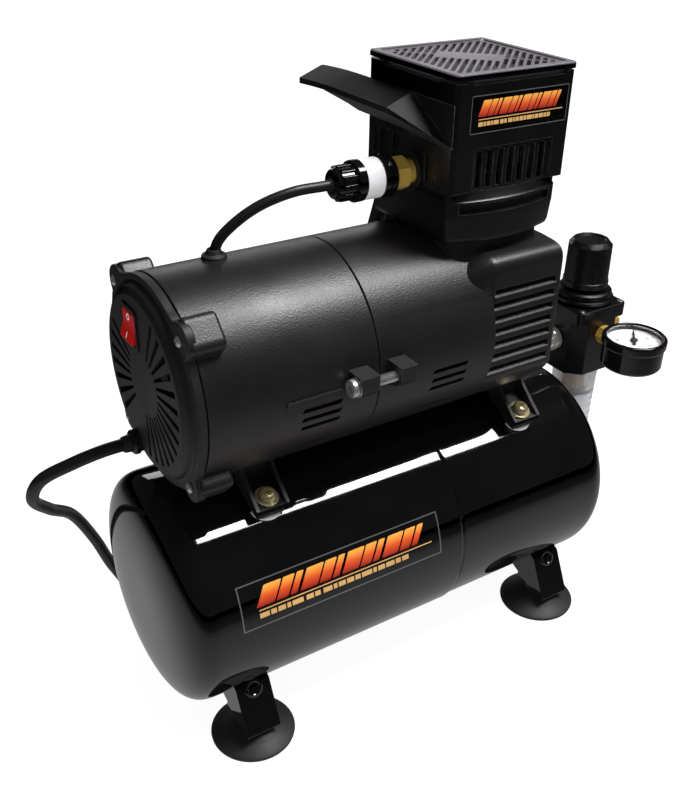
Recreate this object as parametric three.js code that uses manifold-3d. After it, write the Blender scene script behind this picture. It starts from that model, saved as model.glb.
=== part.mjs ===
// Airbrush compressor: a single-cylinder piston pump on an induction motor, standing on a small air tank,
// with a pressure switch, a filter regulator with its gauge, a carry handle and four suction feet.
// Units are millimetres. X runs along the tank and motor (the regulator is at +X), Y to the rear, Z up.
// Every part is placed in one working frame: the tank is centred on X = 0, Y = 0, and the floor is Z = 0.
import * as THREE from "three";
import { mergeVertices } from "three/addons/utils/BufferGeometryUtils.js";
import Module from "manifold-3d";

const wasm = await Module();
wasm.setup();

// ---------------------------------------------------------------- driving dimensions
const GAP = 0.3; // clearance between neighbouring pieces
const FACETING = 0.5; // how finely round shapes are faceted: 1 is fine, less is coarser

const TANK = { radius: 60, z: 73, straight: 113, dome: 21.8, wall: 1.8, seamX: 22.8, step: 0.8 };
const FOOT = { x: 97, y: 46, rim: 21.7, shelfZ: 15, shelf: 2 };
const MOUNT = { x: 78, y: 31.6, z: 131, tilt: 20, plate: 2, pad: 3.8 };

const MOTOR = { z: 189, radius: 49.3, wall: 2.6 };
const SHELL_LEFT = [-112.2, -27.8];
const SHELL_RIGHT = [-27.4, 82];
const COVER_END = 87; // outer face of the front cover
const CAP = { seam: -112.5, flange: -117, face: -121, bolt: 50.5, disc: 44.5 };
const ROCKER = { axisX: -118, y: 9, z: 213.5, tilt: 9 }; // it rests tilted, with its upper half pressed in
const GLAND = { y: 16, z: 150.5 };
const LUG = { left: [-44.3, -34.8], right: [-23.4, -14.4], top: 197.5, out: 59.5, screwY: 55, screwZ: 192 };

const CRANK = { x: 51.25, throw: 6, shaft: 5, shaftEnd: 36.2, discX: [27, 37], discR: 20, pinR: 4 };
const ROD = { length: 35, big: 9, small: 6.5, halfWidth: 5.5 };
const BORE = 19.8;
const SLEEVE_WALL = 2.8;
const PISTON = { crown: 256, ceiling: 250, skirt: 226 };

const HEAD = { x: 51.25, half: 34, neckTop: 239.5, baseTop: 261.7, shroud: [262, 310.6], top: 314.4 };
const BELT = [283, 301.5]; // the band of the carry handle on the head
const HANDLE = { out: 14.3, tipY: 75, inner: 16.9 };
const SWITCH = { y: -3, z: 265.5 };

const REG = { x: 160, y: 10, portZ: 142, half: 18.5, bodyZ: [122, 158], bowl: 16.5 };
const KNOB = { radius: 12.3, z: [171, 200] };
const GAUGE = { y: -33.5, z: [138.5, 157], radius: 18.3 };
const POINTER_REST = -45; // turns the needle to the zero mark, beside the stem on the +X side

// ---------------------------------------------------------------- helpers
const deg = THREE.MathUtils.degToRad;
const v2 = (x, y) => new THREE.Vector2(x, y);
const v3 = (x, y, z) => new THREE.Vector3(x, y, z);
const facets = (sides) => (sides === 6 ? 6 : Math.max(8, 4 * Math.round((sides * FACETING) / 4)));

// A three.js geometry as a manifold-3d solid.
function solid(geometry) {
  const bare = geometry.index ? geometry.toNonIndexed() : geometry.clone();
  bare.deleteAttribute("normal");
  bare.deleteAttribute("uv");
  const merged = mergeVertices(bare, 1e-4);
  const made = new wasm.Manifold(
    new wasm.Mesh({
      numProp: 3,
      vertProperties: merged.attributes.position.array,
      triVerts: new Uint32Array(merged.index.array),
    }),
  );
  if (made.volume() < 0) throw new Error("a geometry is inside out");
  return made;
}

const join = (...parts) => parts.reduce((all, part) => all.add(part));
const cut = (body, ...tools) => tools.reduce((left, tool) => left.subtract(tool), body);

function box([x0, x1], [y0, y1], [z0, z1]) {
  const shape = new THREE.BoxGeometry(x1 - x0, y1 - y0, z1 - z0);
  shape.translate((x0 + x1) / 2, (y0 + y1) / 2, (z0 + z1) / 2);
  return solid(shape);
}

// A cylinder or cone from point a to point b.
function rod(a, b, radius, sides = 20, radiusB = radius) {
  const axis = b.clone().sub(a);
  const shape = new THREE.CylinderGeometry(radiusB, radius, axis.length(), facets(sides));
  const turn = new THREE.Quaternion().setFromUnitVectors(v3(0, 1, 0), axis.clone().normalize());
  shape.applyQuaternion(turn);
  const middle = a.clone().add(b).multiplyScalar(0.5);
  shape.translate(middle.x, middle.y, middle.z);
  return solid(shape);
}
const rodX = ([x0, x1], y, z, radius, sides, end) => rod(v3(x0, y, z), v3(x1, y, z), radius, sides, end);
const rodZ = (x, y, [z0, z1], radius, sides, end) => rod(v3(x, y, z0), v3(x, y, z1), radius, sides, end);

// A closed profile of [radius, height] pairs turned about Z, then stood on the given axis.
function turned(profile, sides, axis = "z", [x, y, z] = [0, 0, 0]) {
  const points = profile.map(([r, h]) => v2(r, h));
  const area = THREE.ShapeUtils.area(points);
  if (area < 0) points.reverse();
  const closed = points[0].x === 0 && points.at(-1).x === 0;
  if (!closed) points.push(points[0].clone());
  const shape = new THREE.LatheGeometry(points, facets(sides));
  if (axis === "z") shape.rotateX(Math.PI / 2);
  if (axis === "x") shape.rotateZ(-Math.PI / 2);
  shape.translate(x, y, z);
  return solid(shape);
}

// A closed outline of points extruded along an axis: "x" takes (y, z), "y" takes (x, z), "z" takes (x, y).
function prism(outline, axis, [from, to]) {
  const shape = outline instanceof THREE.Shape ? outline : new THREE.Shape(outline.map(([a, b]) => v2(a, b)));
  const body = new THREE.ExtrudeGeometry(shape, { depth: to - from, bevelEnabled: false, curveSegments: 3 });
  body.translate(0, 0, from);
  if (axis === "x") body.applyMatrix4(new THREE.Matrix4().makeBasis(v3(0, 1, 0), v3(0, 0, 1), v3(1, 0, 0)));
  if (axis === "y") {
    body.applyMatrix4(new THREE.Matrix4().makeBasis(v3(1, 0, 0), v3(0, 0, 1), v3(0, -1, 0)));
    body.translate(0, from + to, 0);
  }
  return solid(body);
}

function roundedRect(x0, y0, x1, y1, r) {
  const s = new THREE.Shape();
  s.moveTo(x0 + r, y0);
  s.lineTo(x1 - r, y0);
  s.absarc(x1 - r, y0 + r, r, -Math.PI / 2, 0);
  s.lineTo(x1, y1 - r);
  s.absarc(x1 - r, y1 - r, r, 0, Math.PI / 2);
  s.lineTo(x0 + r, y1);
  s.absarc(x0 + r, y1 - r, r, Math.PI / 2, Math.PI);
  s.lineTo(x0, y0 + r);
  s.absarc(x0 + r, y0 + r, r, Math.PI, Math.PI * 1.5);
  return s;
}

// A round cable or hose along a smooth curve through the given points.
function cable(points, radius, steps, sides = 8) {
  const path = new THREE.CatmullRomCurve3(points.map((p) => v3(...p)));
  const section = new THREE.Shape();
  for (let i = 0; i < sides; i += 1) {
    const a = (i / sides) * Math.PI * 2;
    const [x, y] = [radius * Math.cos(a), radius * Math.sin(a)];
    if (i === 0) section.moveTo(x, y);
    else section.lineTo(x, y);
  }
  return solid(new THREE.ExtrudeGeometry(section, { steps, extrudePath: path, bevelEnabled: false }));
}

// A solid turned about an axis through a point.
function turnedBy(body, axis, angle, [x, y, z]) {
  const matrix = new THREE.Matrix4()
    .makeTranslation(x, y, z)
    .multiply(new THREE.Matrix4().makeRotationAxis(axis, deg(angle)))
    .multiply(new THREE.Matrix4().makeTranslation(-x, -y, -z));
  return solid(toGeometry(body).applyMatrix4(matrix));
}
const aboutMotor = (body, angle) => turnedBy(body, v3(1, 0, 0), angle, [0, 0, MOTOR.z]);
const mirrored = (body) => {
  const geometry = toGeometry(body).applyMatrix4(new THREE.Matrix4().makeScale(1, -1, 1));
  const index = geometry.index.array;
  for (let i = 0; i < index.length; i += 3) [index[i + 1], index[i + 2]] = [index[i + 2], index[i + 1]];
  return solid(geometry);
};

function toGeometry(body) {
  const mesh = body.getMesh();
  const geometry = new THREE.BufferGeometry();
  const positions = new Float32Array(mesh.numVert * 3);
  for (let i = 0; i < mesh.numVert; i += 1)
    for (let k = 0; k < 3; k += 1) positions[3 * i + k] = mesh.vertProperties[i * mesh.numProp + k];
  geometry.setAttribute("position", new THREE.BufferAttribute(positions, 3));
  geometry.setIndex(new THREE.BufferAttribute(new Uint32Array(mesh.triVerts), 1));
  return geometry;
}

const FINISH = {
  blackGloss: { color: 0x0b0b0c, roughness: 0.12, metalness: 0.1 },
  blackSatin: { color: 0x1a1a1b, roughness: 0.45, metalness: 0.3 },
  blackPlastic: { color: 0x141415, roughness: 0.5, metalness: 0 },
  rubber: { color: 0x101010, roughness: 0.75, metalness: 0 },
  redPlastic: { color: 0xb3130f, roughness: 0.25, metalness: 0 },
  steel: { color: 0x9a9c9f, roughness: 0.35, metalness: 1 },
  zinc: { color: 0xc9bf8a, roughness: 0.3, metalness: 1 },
  brass: { color: 0xb8903c, roughness: 0.25, metalness: 1 },
  aluminium: { color: 0xb6b8ba, roughness: 0.4, metalness: 1 },
  copper: { color: 0x9a5a34, roughness: 0.45, metalness: 0.8 },
  clear: { color: 0xdfe4e6, roughness: 0.08, metalness: 0 },
  white: { color: 0xe9e9e6, roughness: 0.4, metalness: 0 },
  sintered: { color: 0xb59a66, roughness: 0.8, metalness: 0.4 },
  needle: { color: 0x1c1c1c, roughness: 0.5, metalness: 0 },
};

const assembly = new THREE.Group();

function add(name, body, finish) {
  const geometry = toGeometry(body).toNonIndexed();
  geometry.computeVertexNormals();
  const mesh = new THREE.Mesh(geometry, new THREE.MeshStandardMaterial(FINISH[finish]));
  mesh.name = name;
  assembly.add(mesh);
}

// ---------------------------------------------------------------- tank and its welded brackets
const HALVES = [
  { name: "left", side: -1 },
  { name: "right", side: 1 },
];
const RANKS = [
  { name: "front", side: -1 },
  { name: "rear", side: 1 },
];
const eachCorner = (make) => HALVES.forEach((h) => RANKS.forEach((r) => make(h, r, `${r.name}_${h.name}`)));

// One domed end as [radius, distance] pairs, from the straight wall to the axis.
function dome(radius, depth, steps) {
  const power = 2 / 3.4;
  const points = [];
  for (let i = 0; i <= steps; i += 1) {
    const t = (i / steps) * (Math.PI / 2);
    points.push([radius * Math.cos(t) ** power, TANK.straight + depth * Math.sin(t) ** power]);
  }
  points[steps][0] = 0;
  return points;
}

function tankSkin(inset, steps) {
  const right = dome(TANK.radius - TANK.step - inset, TANK.dome - inset, steps);
  const left = dome(TANK.radius - inset, TANK.dome - inset, steps).map(([r, x]) => [r, -x]);
  const seam = [
    [TANK.radius - inset, TANK.seamX],
    [TANK.radius - TANK.step - inset, TANK.seamX],
  ];
  return turned([...left.reverse(), ...seam, ...right], 45, "x", [0, 0, TANK.z]);
}

const onTank = (x, angle, radius) =>
  v3(x, -radius * Math.cos(deg(angle)), TANK.z + radius * Math.sin(deg(angle)));

// Threaded bosses: where each one points, and how wide its bore is.
const PORTS = {
  outlet: { x: 101, angle: 90, lean: 10, bore: 4.2 },
  check: { x: 30, angle: 128, lean: 0, bore: 4.2 },
  safety: { x: -40, angle: 128, lean: 0, bore: 4.2 },
  drain: { x: 0, angle: -90, lean: 0, bore: 3.6 },
};
const portEnds = ({ x, angle, lean }, inner, outer) => {
  const shift = v3(0, lean, 0);
  return [onTank(x, angle, inner).add(shift), onTank(x, angle, outer).add(shift)];
};

// A foot bracket: a bent web with a flange on each side, and a shelf that holds the suction foot.
function footBracket(side) {
  const [x, w, t] = [side * (FOOT.x + 0.5), 9.3, 1.5]; // middle, half width and flange thickness
  const shelf = [FOOT.shelfZ, FOOT.shelfZ + FOOT.shelf];
  const web = [[-46, 36], [-49, 33], [-56, 17.5], [-60, 10.6], [-58.4, 9.8], [-54.2, 16.7], [-47.4, 31],
    [-44, 34]];
  const flange = [[-46, 36], [-49, 33], [-56, 17.5], [-60, 10.6], [-55.5, 10.6], [-27, 21.5], [-27, 25]];
  const plate = [[-56, shelf[0]], [-37, shelf[0]], [-37, shelf[1]], [-55.6, shelf[1]]];
  const body = join(
    prism(web, "x", [x - w, x + w]),
    prism(flange, "x", [x - w, x - w + t]),
    prism(flange, "x", [x + w - t, x + w]),
    prism(plate, "x", [x - w, x + w]),
  );
  const hole = rodZ(side * FOOT.x, -FOOT.y, [FOOT.shelfZ - 1, FOOT.shelfZ + FOOT.shelf + 1], 3.1, 16);
  return cut(body, hole);
}

// Tilted frame of a motor mount: "up" points away from the tank, "out" slopes down and outwards.
function mountFrame(h, r) {
  const tilt = deg(MOUNT.tilt);
  const up = v3(0, r.side * Math.sin(tilt), Math.cos(tilt));
  const out = v3(0, r.side * Math.cos(tilt), -Math.sin(tilt));
  const top = v3(h.side * MOUNT.x, r.side * MOUNT.y, MOUNT.z);
  const at = (height, along = 0) => top.clone().addScaledVector(up, height).addScaledVector(out, along);
  return { at };
}

function buildTank() {
  const bosses = [];
  const bores = [];
  for (const port of Object.values(PORTS)) {
    bosses.push(rod(...portEnds(port, 55, 63), port.bore + 4.5, 20));
    bores.push(rod(...portEnds(port, 50, 66), port.bore + GAP, 16));
  }
  const feet = HALVES.map((h) => footBracket(h.side));
  const inside = tankSkin(TANK.wall, 3);
  const brackets = join(...feet, ...feet.map(mirrored));
  let body = cut(join(tankSkin(0, 5), brackets, ...bosses), inside);
  eachCorner((h, r) => {
    const { at } = mountFrame(h, r);
    const depth = MOUNT.plate + MOUNT.pad + GAP;
    body = cut(join(body, rod(at(-depth - 5), at(-depth), 6.2, 18)), rod(at(-depth - 4), at(0), 2.4, 12));
  });
  add("tank_shell", cut(body, ...bores), "blackGloss");
}

function buildSuctionFeet() {
  const shelfTop = FOOT.shelfZ + FOOT.shelf;
  const profile = [
    [0, 5], [12, 3.4], [FOOT.rim - 1.6, 0], [FOOT.rim, 0], [FOOT.rim, 1.8], [15, 6], [7.2, 9.6],
    [7, FOOT.shelfZ - GAP], [2.7, FOOT.shelfZ - GAP], [2.7, shelfTop + GAP], [4.6, shelfTop + GAP],
    [2.6, shelfTop + 4.5], [0, shelfTop + 4.5],
  ];
  eachCorner((h, r, name) => {
    add(`suction_foot_${name}`, turned(profile, 24, "z", [h.side * FOOT.x, r.side * FOOT.y, 0]), "rubber");
  });
}

function buildMotorMounts() {
  const clearOfTank = rodX([-200, 200], 0, TANK.z, TANK.radius + GAP, 64);
  eachCorner((h, r, name) => {
    const { at } = mountFrame(h, r);
    const pad = new THREE.BoxGeometry(15, 12, MOUNT.pad);
    const middle = at(-MOUNT.plate - GAP - MOUNT.pad / 2 + 0.15, 0.8);
    pad.rotateX(-r.side * deg(MOUNT.tilt));
    pad.translate(middle.x, middle.y, middle.z);
    const hole = rod(at(-12), at(2), 2.5, 12);
    add(`vibration_pad_${name}`, cut(solid(pad), clearOfTank, hole), "rubber");
    const screw = join(
      rod(at(GAP), at(GAP + 1), 5.8, 16),
      rod(at(GAP + 0.9), at(GAP + 3.4), 4.2, 12, 3.2),
      rod(at(-MOUNT.plate - MOUNT.pad - 3), at(GAP + 0.5), 2, 10),
    );
    add(`pad_screw_${name}`, screw, "zinc");
  });
}

// ---------------------------------------------------------------- motor shells
// The cast leg of one shell, from the underside of the motor to the two sloping trays.
function leg(side) {
  const [x, w, t] = [side * MOUNT.x, 8.7, 1.8];
  const tray = (r) => {
    const { at } = mountFrame({ side }, { side: r });
    const [tip, back] = [at(0, 7.2), at(0, -12.5)];
    const [under, backUnder] = [at(-MOUNT.plate, 7.2), at(-MOUNT.plate, -12.5)];
    const yz = (p) => [p.y, p.z];
    const base = [yz(under), yz(tip), yz(back), yz(backUnder)];
    const flange = [yz(under), yz(at(1.4, 7.2)), [r * 22, 146], [r * 14, 146],
      [r * 14, 141.5], yz(backUnder)];
    const wall = [[r * 19.4, 133], [r * 17.4, 133], [r * 14, 143], [r * 18, 146]];
    const hole = rod(at(-4), at(2), 2.5, 12);
    const body = join(
      prism(base, "x", [x - w, x + w]),
      prism(flange, "x", [x - w, x - w + t]),
      prism(flange, "x", [x + w - t, x + w]),
      prism(wall, "x", [x - w, x + w]),
    );
    return cut(body, hole);
  };
  const saddle = box([x - w, x + w], [-20, 20], [137, 146]);
  const clearOfCover = rodX([SHELL_RIGHT[1], x + w + 1], 0, MOTOR.z, MOTOR.radius + 2 * GAP, 48);
  return cut(join(tray(-1), tray(1), saddle), ...(side > 0 ? [clearOfCover] : []));
}

// A lug beside the middle seam with a hole for the clamp screw.
function lug(ends) {
  const { top, out } = LUG;
  const outline = [[-44, top], [-out, top], [-out, 190.5], [-57, 187.5], [-44, 183]];
  return prism(outline, "x", ends);
}
const clampHole = rodX([-50, -10], -LUG.screwY, LUG.screwZ, 2.9, 14);

// A row of vent slots through the shell wall, cut along a direction at the given angle above the front.
function ventSlot([x0, x1], angle, height) {
  const tool = box([x0, x1], [-60, -40], [MOTOR.z - height / 2, MOTOR.z + height / 2]);
  return aboutMotor(tool, -angle);
}
const ventGroup = (span) => [ventSlot(span, -6.5, 2.6), ventSlot(span, -12.5, 2.6), ventSlot(span, -18.5,
  2.6),
  ventSlot(span, -36, 2)];

const shellTube = (ends, radius) => rodX(ends, 0, MOTOR.z, radius, 48);

// A bulkhead across the shell with a bearing seat and six windows for the cooling air.
function bulkhead([x0, x1], seat, windows) {
  let plate = join(shellTube([x0, x1], MOTOR.radius - 1), rodX(seat, 0, MOTOR.z, 19.5, 28));
  plate = cut(plate, rodX([seat[0] - 1, seat[1] + 1], 0, MOTOR.z, 16.6, 28));
  const window = box([x0 - 1, x1 + 1], [-6, 6], [MOTOR.z + 24, MOTOR.z + 41]);
  for (let i = 0; i < windows; i += 1) plate = cut(plate, aboutMotor(window, (360 / windows) * i));
  return plate;
}

function buildLeftShell() {
  const [x0, x1] = SHELL_LEFT;
  const bosses = [45, 135, 225, 315].map((angle) => {
    const boss = rodX([x0, x0 + 14], 0, MOTOR.z + CAP.bolt, 6, 16);
    return aboutMotor(boss, angle);
  });
  const screwHoles = [45, 135, 225, 315].map((angle) => {
    const hole = rodX([x0 - 1, x0 + 9], 0, MOTOR.z + CAP.bolt, 1.7, 10);
    return aboutMotor(hole, angle);
  });
  const hollow = shellTube([x0 - 1, x1 + 1], MOTOR.radius - MOTOR.wall);
  const ear = lug(LUG.left);
  const outside = join(shellTube(SHELL_LEFT, MOTOR.radius), leg(-1), ear, mirrored(ear), ...bosses);
  const grommetHole = rodZ(-80, 8, [225, 245], 3.8, 12);
  const vents = ventGroup([-68.4, -46.5]);
  const body = cut(outside, hollow, clampHole, mirrored(clampHole), grommetHole, ...screwHoles, ...vents,
    ...vents.map(mirrored));
  add("motor_shell_left", join(body, bulkhead([-90, -87], [-90, -80], 6)), "blackSatin");
}

function neckOutline(inset) {
  return roundedRect(HEAD.x - 31 + inset, -30 + inset, HEAD.x + 29 - inset, 30 - inset, 14 - inset);
}

function buildRightShell() {
  const [x0, x1] = SHELL_RIGHT;
  const hollow = shellTube([x0 - 1, x1 + 1], MOTOR.radius - MOTOR.wall);
  const neck = prism(neckOutline(0), "z", [215, HEAD.neckTop]);
  const flare = prism(roundedRect(HEAD.x - 38, -31.5, HEAD.x + 30, 31.5, 18), "z", [215, 231]);
  const ear = lug(LUG.right);
  const outside = join(shellTube(SHELL_RIGHT, MOTOR.radius), leg(1), ear, mirrored(ear), neck, flare);
  // A flat panel is let into the front beside the pump, and seven louvres open through it.
  const panel = aboutMotor(box([40, x1 + 1], [-60, -44], [MOTOR.z - 21, MOTOR.z + 22]), -13);
  const backing = aboutMotor(box([38, x1], [-43.8, -41.5], [MOTOR.z - 27, MOTOR.z + 28]), -13);
  const louvres = [];
  for (let i = 0; i < 7; i += 1) {
    const z = MOTOR.z + 10.5 - i * 5;
    louvres.push(aboutMotor(box([42.5, 77.5], [-50, -35], [z - 1.2, z + 1.2]), -13));
  }
  const vents = ventGroup([2.2, 24.4]);
  const shell = cut(outside, hollow, clampHole, mirrored(clampHole), ...vents, ...vents.map(mirrored));
  const lidded = cut(join(shell, backing.intersect(shellTube([38, x1], MOTOR.radius - 1))), panel,
    ...louvres);
  const bore = rodZ(HEAD.x, 0, [200, 245], BORE + SLEEVE_WALL + GAP, 36);
  add("motor_shell_right", cut(join(lidded, bulkhead([14, 18], [12, 21], 0)), bore), "blackSatin");
}

function buildShellFittings() {
  const screw = join(
    rodX([-47.6, LUG.left[0] - GAP], -LUG.screwY, LUG.screwZ, 5.2, 20),
    rodX([-45, -11.5], -LUG.screwY, LUG.screwZ, 2.5, 12),
    rodX([LUG.right[1] + GAP, -11], -LUG.screwY, LUG.screwZ, 4.6, 6),
  );
  const socket = rodX([-49, -46], -LUG.screwY, LUG.screwZ, 2.4, 6);
  add("clamp_screw_front", cut(screw, socket), "steel");
  add("clamp_screw_rear", mirrored(cut(screw, socket)), "steel");

  const cover = turned(
    [[0, 83.6], [44, 83.6], [44, SHELL_RIGHT[1] + GAP], [MOTOR.radius, SHELL_RIGHT[1] + GAP],
      [MOTOR.radius, 84.6],
      [47.8, 86.3], [45, COVER_END], [0, COVER_END]],
    48, "x", [0, 0, MOTOR.z]);
  const spigot = turned([[41.5, 78], [45.9, 78], [45.9, 84], [41.5, 84]], 48, "x", [0, 0, MOTOR.z]);
  const clearOfPanel = aboutMotor(box([77, 83], [-60, -41.1], [MOTOR.z - 30, MOTOR.z + 30]), -13);
  add("front_cover", join(cover, cut(spigot, clearOfPanel)), "blackSatin");
}

function buildEndCap() {
  const lobeTurns = [45, 135, 225, 315];
  const flange = rodX([CAP.flange, CAP.seam], 0, MOTOR.z, MOTOR.radius - 0.3, 48);
  const lobe = rodX([CAP.flange, CAP.seam], 0, MOTOR.z + CAP.bolt, 6.6, 18);
  const disc = turned(
    [[0, CAP.face], [CAP.disc - 2, CAP.face], [CAP.disc, CAP.face + 1.6], [CAP.disc + 0.8, CAP.flange + 1],
      [0, CAP.flange + 1]],
    48, "x", [0, 0, MOTOR.z]);
  const hollow = rodX([CAP.face + 2.4, CAP.seam + 1], 0, MOTOR.z, 41.5, 40);
  const screwHole = rodX([CAP.flange - 1, CAP.seam + 1], 0, MOTOR.z + CAP.bolt, 2, 10);
  let body = join(flange, disc, ...lobeTurns.map((a) => aboutMotor(lobe, a)));
  body = cut(body, hollow, ...lobeTurns.map((a) => aboutMotor(screwHole, a)));
  // Radial air slots, wider towards the rim, except where the switch and the cord gland sit.
  const outline = [[-0.7, 15], [0.7, 15], [1.5, 38], [-1.5, 38]];
  const slot = prism(outline.map(([y, r]) => [y, r + MOTOR.z]), "x", [CAP.face - 1, CAP.face + 4]);
  for (let angle = 0; angle < 360; angle += 12) {
    const nearSwitch = angle > 300 || angle < 24;
    const nearGland = angle > 190 && angle < 222;
    if (!nearSwitch && !nearGland) body = cut(body, aboutMotor(slot, angle));
  }
  const { y, z } = ROCKER;
  const switchHole = box([CAP.face - 1, CAP.face + 4], [y - 6.9, y + 6.9], [z - 10.3, z + 10.3]);
  const glandHole = rodX([CAP.face - 1, CAP.seam + 1], GLAND.y, GLAND.z, 5.6, 20);
  add("end_cap", cut(body, switchHole, glandHole), "blackPlastic");
}

// ---------------------------------------------------------------- mains switch and cord
function buildRockerSwitch() {
  const { y, z } = ROCKER;
  const frame = join(
    box([CAP.face - 1.8, CAP.face - GAP], [y - 7.8, y + 7.8], [z - 10.8, z + 10.8]),
    box([CAP.face - 1, -108], [y - 6.6, y + 6.6], [z - 10, z + 10]),
  );
  const well = box([CAP.face - 3, -114], [y - 5.9, y + 5.9], [z - 9.3, z + 9.3]);
  add("switch_frame", cut(frame, well), "blackPlastic");
  // The rocker is a shallow V in side view.
  const side = [[-116, z - 5], [-116, z + 5], [-121.4, z + 8.2], [-123.2, z + 8.2], [-122.3, z],
    [-123.2, z - 8.2],
    [-121.4, z - 8.2]];
  const rocker = prism(side, "y", [y - 5.5, y + 5.5]);
  add("rocker_switch", turnedBy(rocker, v3(0, 1, 0), ROCKER.tilt, [ROCKER.axisX, y, z]), "redPlastic");
}

function buildPowerCord() {
  const nut = turned([[3.5, -127], [6.2, -127], [7.2, -125.5], [7.2, CAP.face - GAP], [5.3, CAP.face - GAP],
    [5.3, -113], [3.5, -113]], 20, "x", [0, GLAND.y, GLAND.z]);
  const relief = turned([[3.5, -136], [4.4, -136], [5.2, -126.5],
    [3.5, -126.5]], 20, "x", [0, GLAND.y, GLAND.z]);
  add("cord_gland", join(nut, relief), "blackPlastic");
  const { y, z } = GLAND;
  const cord = cable([[-109, y, z], [-121, y, z], [-137, y, z], [-152, y + 3, z - 4], [-166, y + 9, z - 12],
    [-170, y + 17, z - 26], [-160, y + 30, z - 44], [-146, y + 44, z - 62], [-134, y + 52, z - 88],
    [-124, y + 56, z - 116], [-112, y + 58, 12], [-96, y + 59, 4.5], [-74, y + 59, 4.5],
    [-60, y + 59, 6.5], [-50, y + 59, 10]], 3.1, 32, 8);
  const plugY = y + 59;
  const plug = join(
    rodX([-52, -40], plugY, 10, 3.9, 12, 5.5),
    prism(roundedRect(plugY - 12, 0.2, plugY + 12, 20, 5), "x", [-41, -10]),
    box([-10.5, 6], [plugY - 8, plugY - 6.4], [6.9, 13.3]),
    box([-10.5, 6], [plugY + 6.4, plugY + 8], [6.9, 13.3]),
  );
  add("power_cord", join(cord, plug), "rubber");
}

// ---------------------------------------------------------------- motor internals
function buildMotorInternals() {
  const { z } = MOTOR;
  const winding = 9;
  const stator = turned(
    [[28, -62], [44.5, -62], [44.5, -16], [28, -16]], 32, "x", [0, 0, z]);
  const coil = ([a, b]) => turned([[31, a], [41, a], [42, (a + b) / 2], [41, b],
    [31, b]], 24, "x", [0, 0, z]);
  add("stator", join(stator, coil([-62 - winding, -61.5]), coil([-16.5, -16 + winding])), "copper");

  const core = turned([[0, -60], [24, -60], [27.2, -58], [27.2, -20], [24, -18],
    [0, -18]], 32, "x", [0, 0, z]);
  add("rotor", join(core, rodX([-111, CRANK.shaftEnd], 0, z, CRANK.shaft, 20)), "steel");

  for (const [name, span] of [["rear", [-89.5, -80.5]], ["front", [12.5, 20.5]]]) {
    const race = [[CRANK.shaft + GAP, span[0]], [15.9, span[0]], [15.9, span[1]],
      [CRANK.shaft + GAP, span[1]]];
    add(`bearing_${name}`, turned(race, 28, "x", [0, 0, z]), "steel");
  }

  const hub = turned([[CRANK.shaft + GAP, -108], [11, -108], [13, -96],
    [CRANK.shaft + GAP, -96]], 24, "x", [0, 0, z]);
  const blade = new THREE.BoxGeometry(9, 1.6, 30);
  blade.rotateZ(deg(35));
  blade.translate(-102, 0, z + 25);
  const blades = [];
  for (let i = 0; i < 9; i += 1) blades.push(aboutMotor(solid(blade), i * 40));
  add("cooling_fan", join(hub, ...blades), "blackPlastic");
}

// ---------------------------------------------------------------- crank, rod, piston and cylinder
function buildPump() {
  const { z } = MOTOR;
  const pinZ = z + CRANK.throw;
  const pin = rodX([CRANK.discX[1] - 0.5, 58], 0, pinZ, CRANK.pinR, 20);
  // The disc is heavier on the side away from the pin, to balance the rod and piston.
  const disc = cut(
    rodX(CRANK.discX, 0, z, CRANK.discR, 32),
    rodX([CRANK.discX[0] - 1, CRANK.shaftEnd + 2 * GAP], 0, z, CRANK.shaft + GAP, 20),
    box([CRANK.discX[0] - 1, 33], [-30, 30], [z + 8, z + 30]),
  );
  add("crank_disc", join(disc, pin), "steel");

  const smallZ = pinZ + ROD.length;
  const ends = [CRANK.x - ROD.halfWidth, CRANK.x + ROD.halfWidth];
  const rodBody = join(
    rodX(ends, 0, pinZ, ROD.big, 24),
    rodX(ends, 0, smallZ, ROD.small, 20),
    box([CRANK.x - 2.5, CRANK.x + 2.5], [-4, 4], [pinZ + 6, smallZ - 3]),
  );
  const holes = [
    rodX([ends[0] - 1, ends[1] + 1], 0, pinZ, CRANK.pinR + GAP, 20),
    rodX([ends[0] - 1, ends[1] + 1], 0, smallZ, 3, 16),
  ];
  add("connecting_rod", cut(rodBody, ...holes), "aluminium");

  const piston = turned(
    [[0, PISTON.ceiling], [15.5, PISTON.ceiling], [16.5, PISTON.ceiling - 2], [16.5, PISTON.skirt],
      [19.5, PISTON.skirt], [19.5, 251], [18.8, 251], [18.8, 253], [19.5, 253], [19.5, PISTON.crown],
      [0, PISTON.crown]],
    36, "z", [CRANK.x, 0, 0]);
  add("piston", piston, "aluminium");

  const outer = BORE + SLEEVE_WALL;
  const sleeve = turned(
    [[BORE, 217], [outer, 217], [outer, 239.9], [27, 239.9], [27, 242.7], [outer, 242.7], [outer, 257.7],
      [BORE, 257.7]],
    36, "z", [CRANK.x, 0, 0]);
  add("cylinder_sleeve", sleeve, "steel");

  // The finned cylinder head: a bored outlet towards the pressure switch and one towards the hose.
  const fins = [];
  for (let i = 0; i < 7; i += 1) {
    const x = CRANK.x - 21 + i * 7;
    fins.push(box([x - 1.2, x + 1.2], [-24, 24], [267, 277]));
  }
  const block = join(box([26, 76.5], [-25, 25],
    [258, 268]), ...fins, rodX([18, 30], SWITCH.y, SWITCH.z, 7, 16),
    rod(v3(60, 20, SWITCH.z - 1), v3(60, 31, SWITCH.z - 1), 6.4, 16));
  const chamber = rodZ(CRANK.x, 0, [257, 261.5], 17, 24);
  const toSwitch = rodX([10, 40], SWITCH.y, SWITCH.z, 4.8, 14);
  const toHose = rod(v3(60, 10, SWITCH.z - 1), v3(60, 33, SWITCH.z - 1), 4.6, 14);
  const down = rodZ(38, SWITCH.y, [259, SWITCH.z], 2, 10);
  add("cylinder_head", cut(block, chamber, toSwitch, toHose, down), "aluminium");
}

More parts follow.
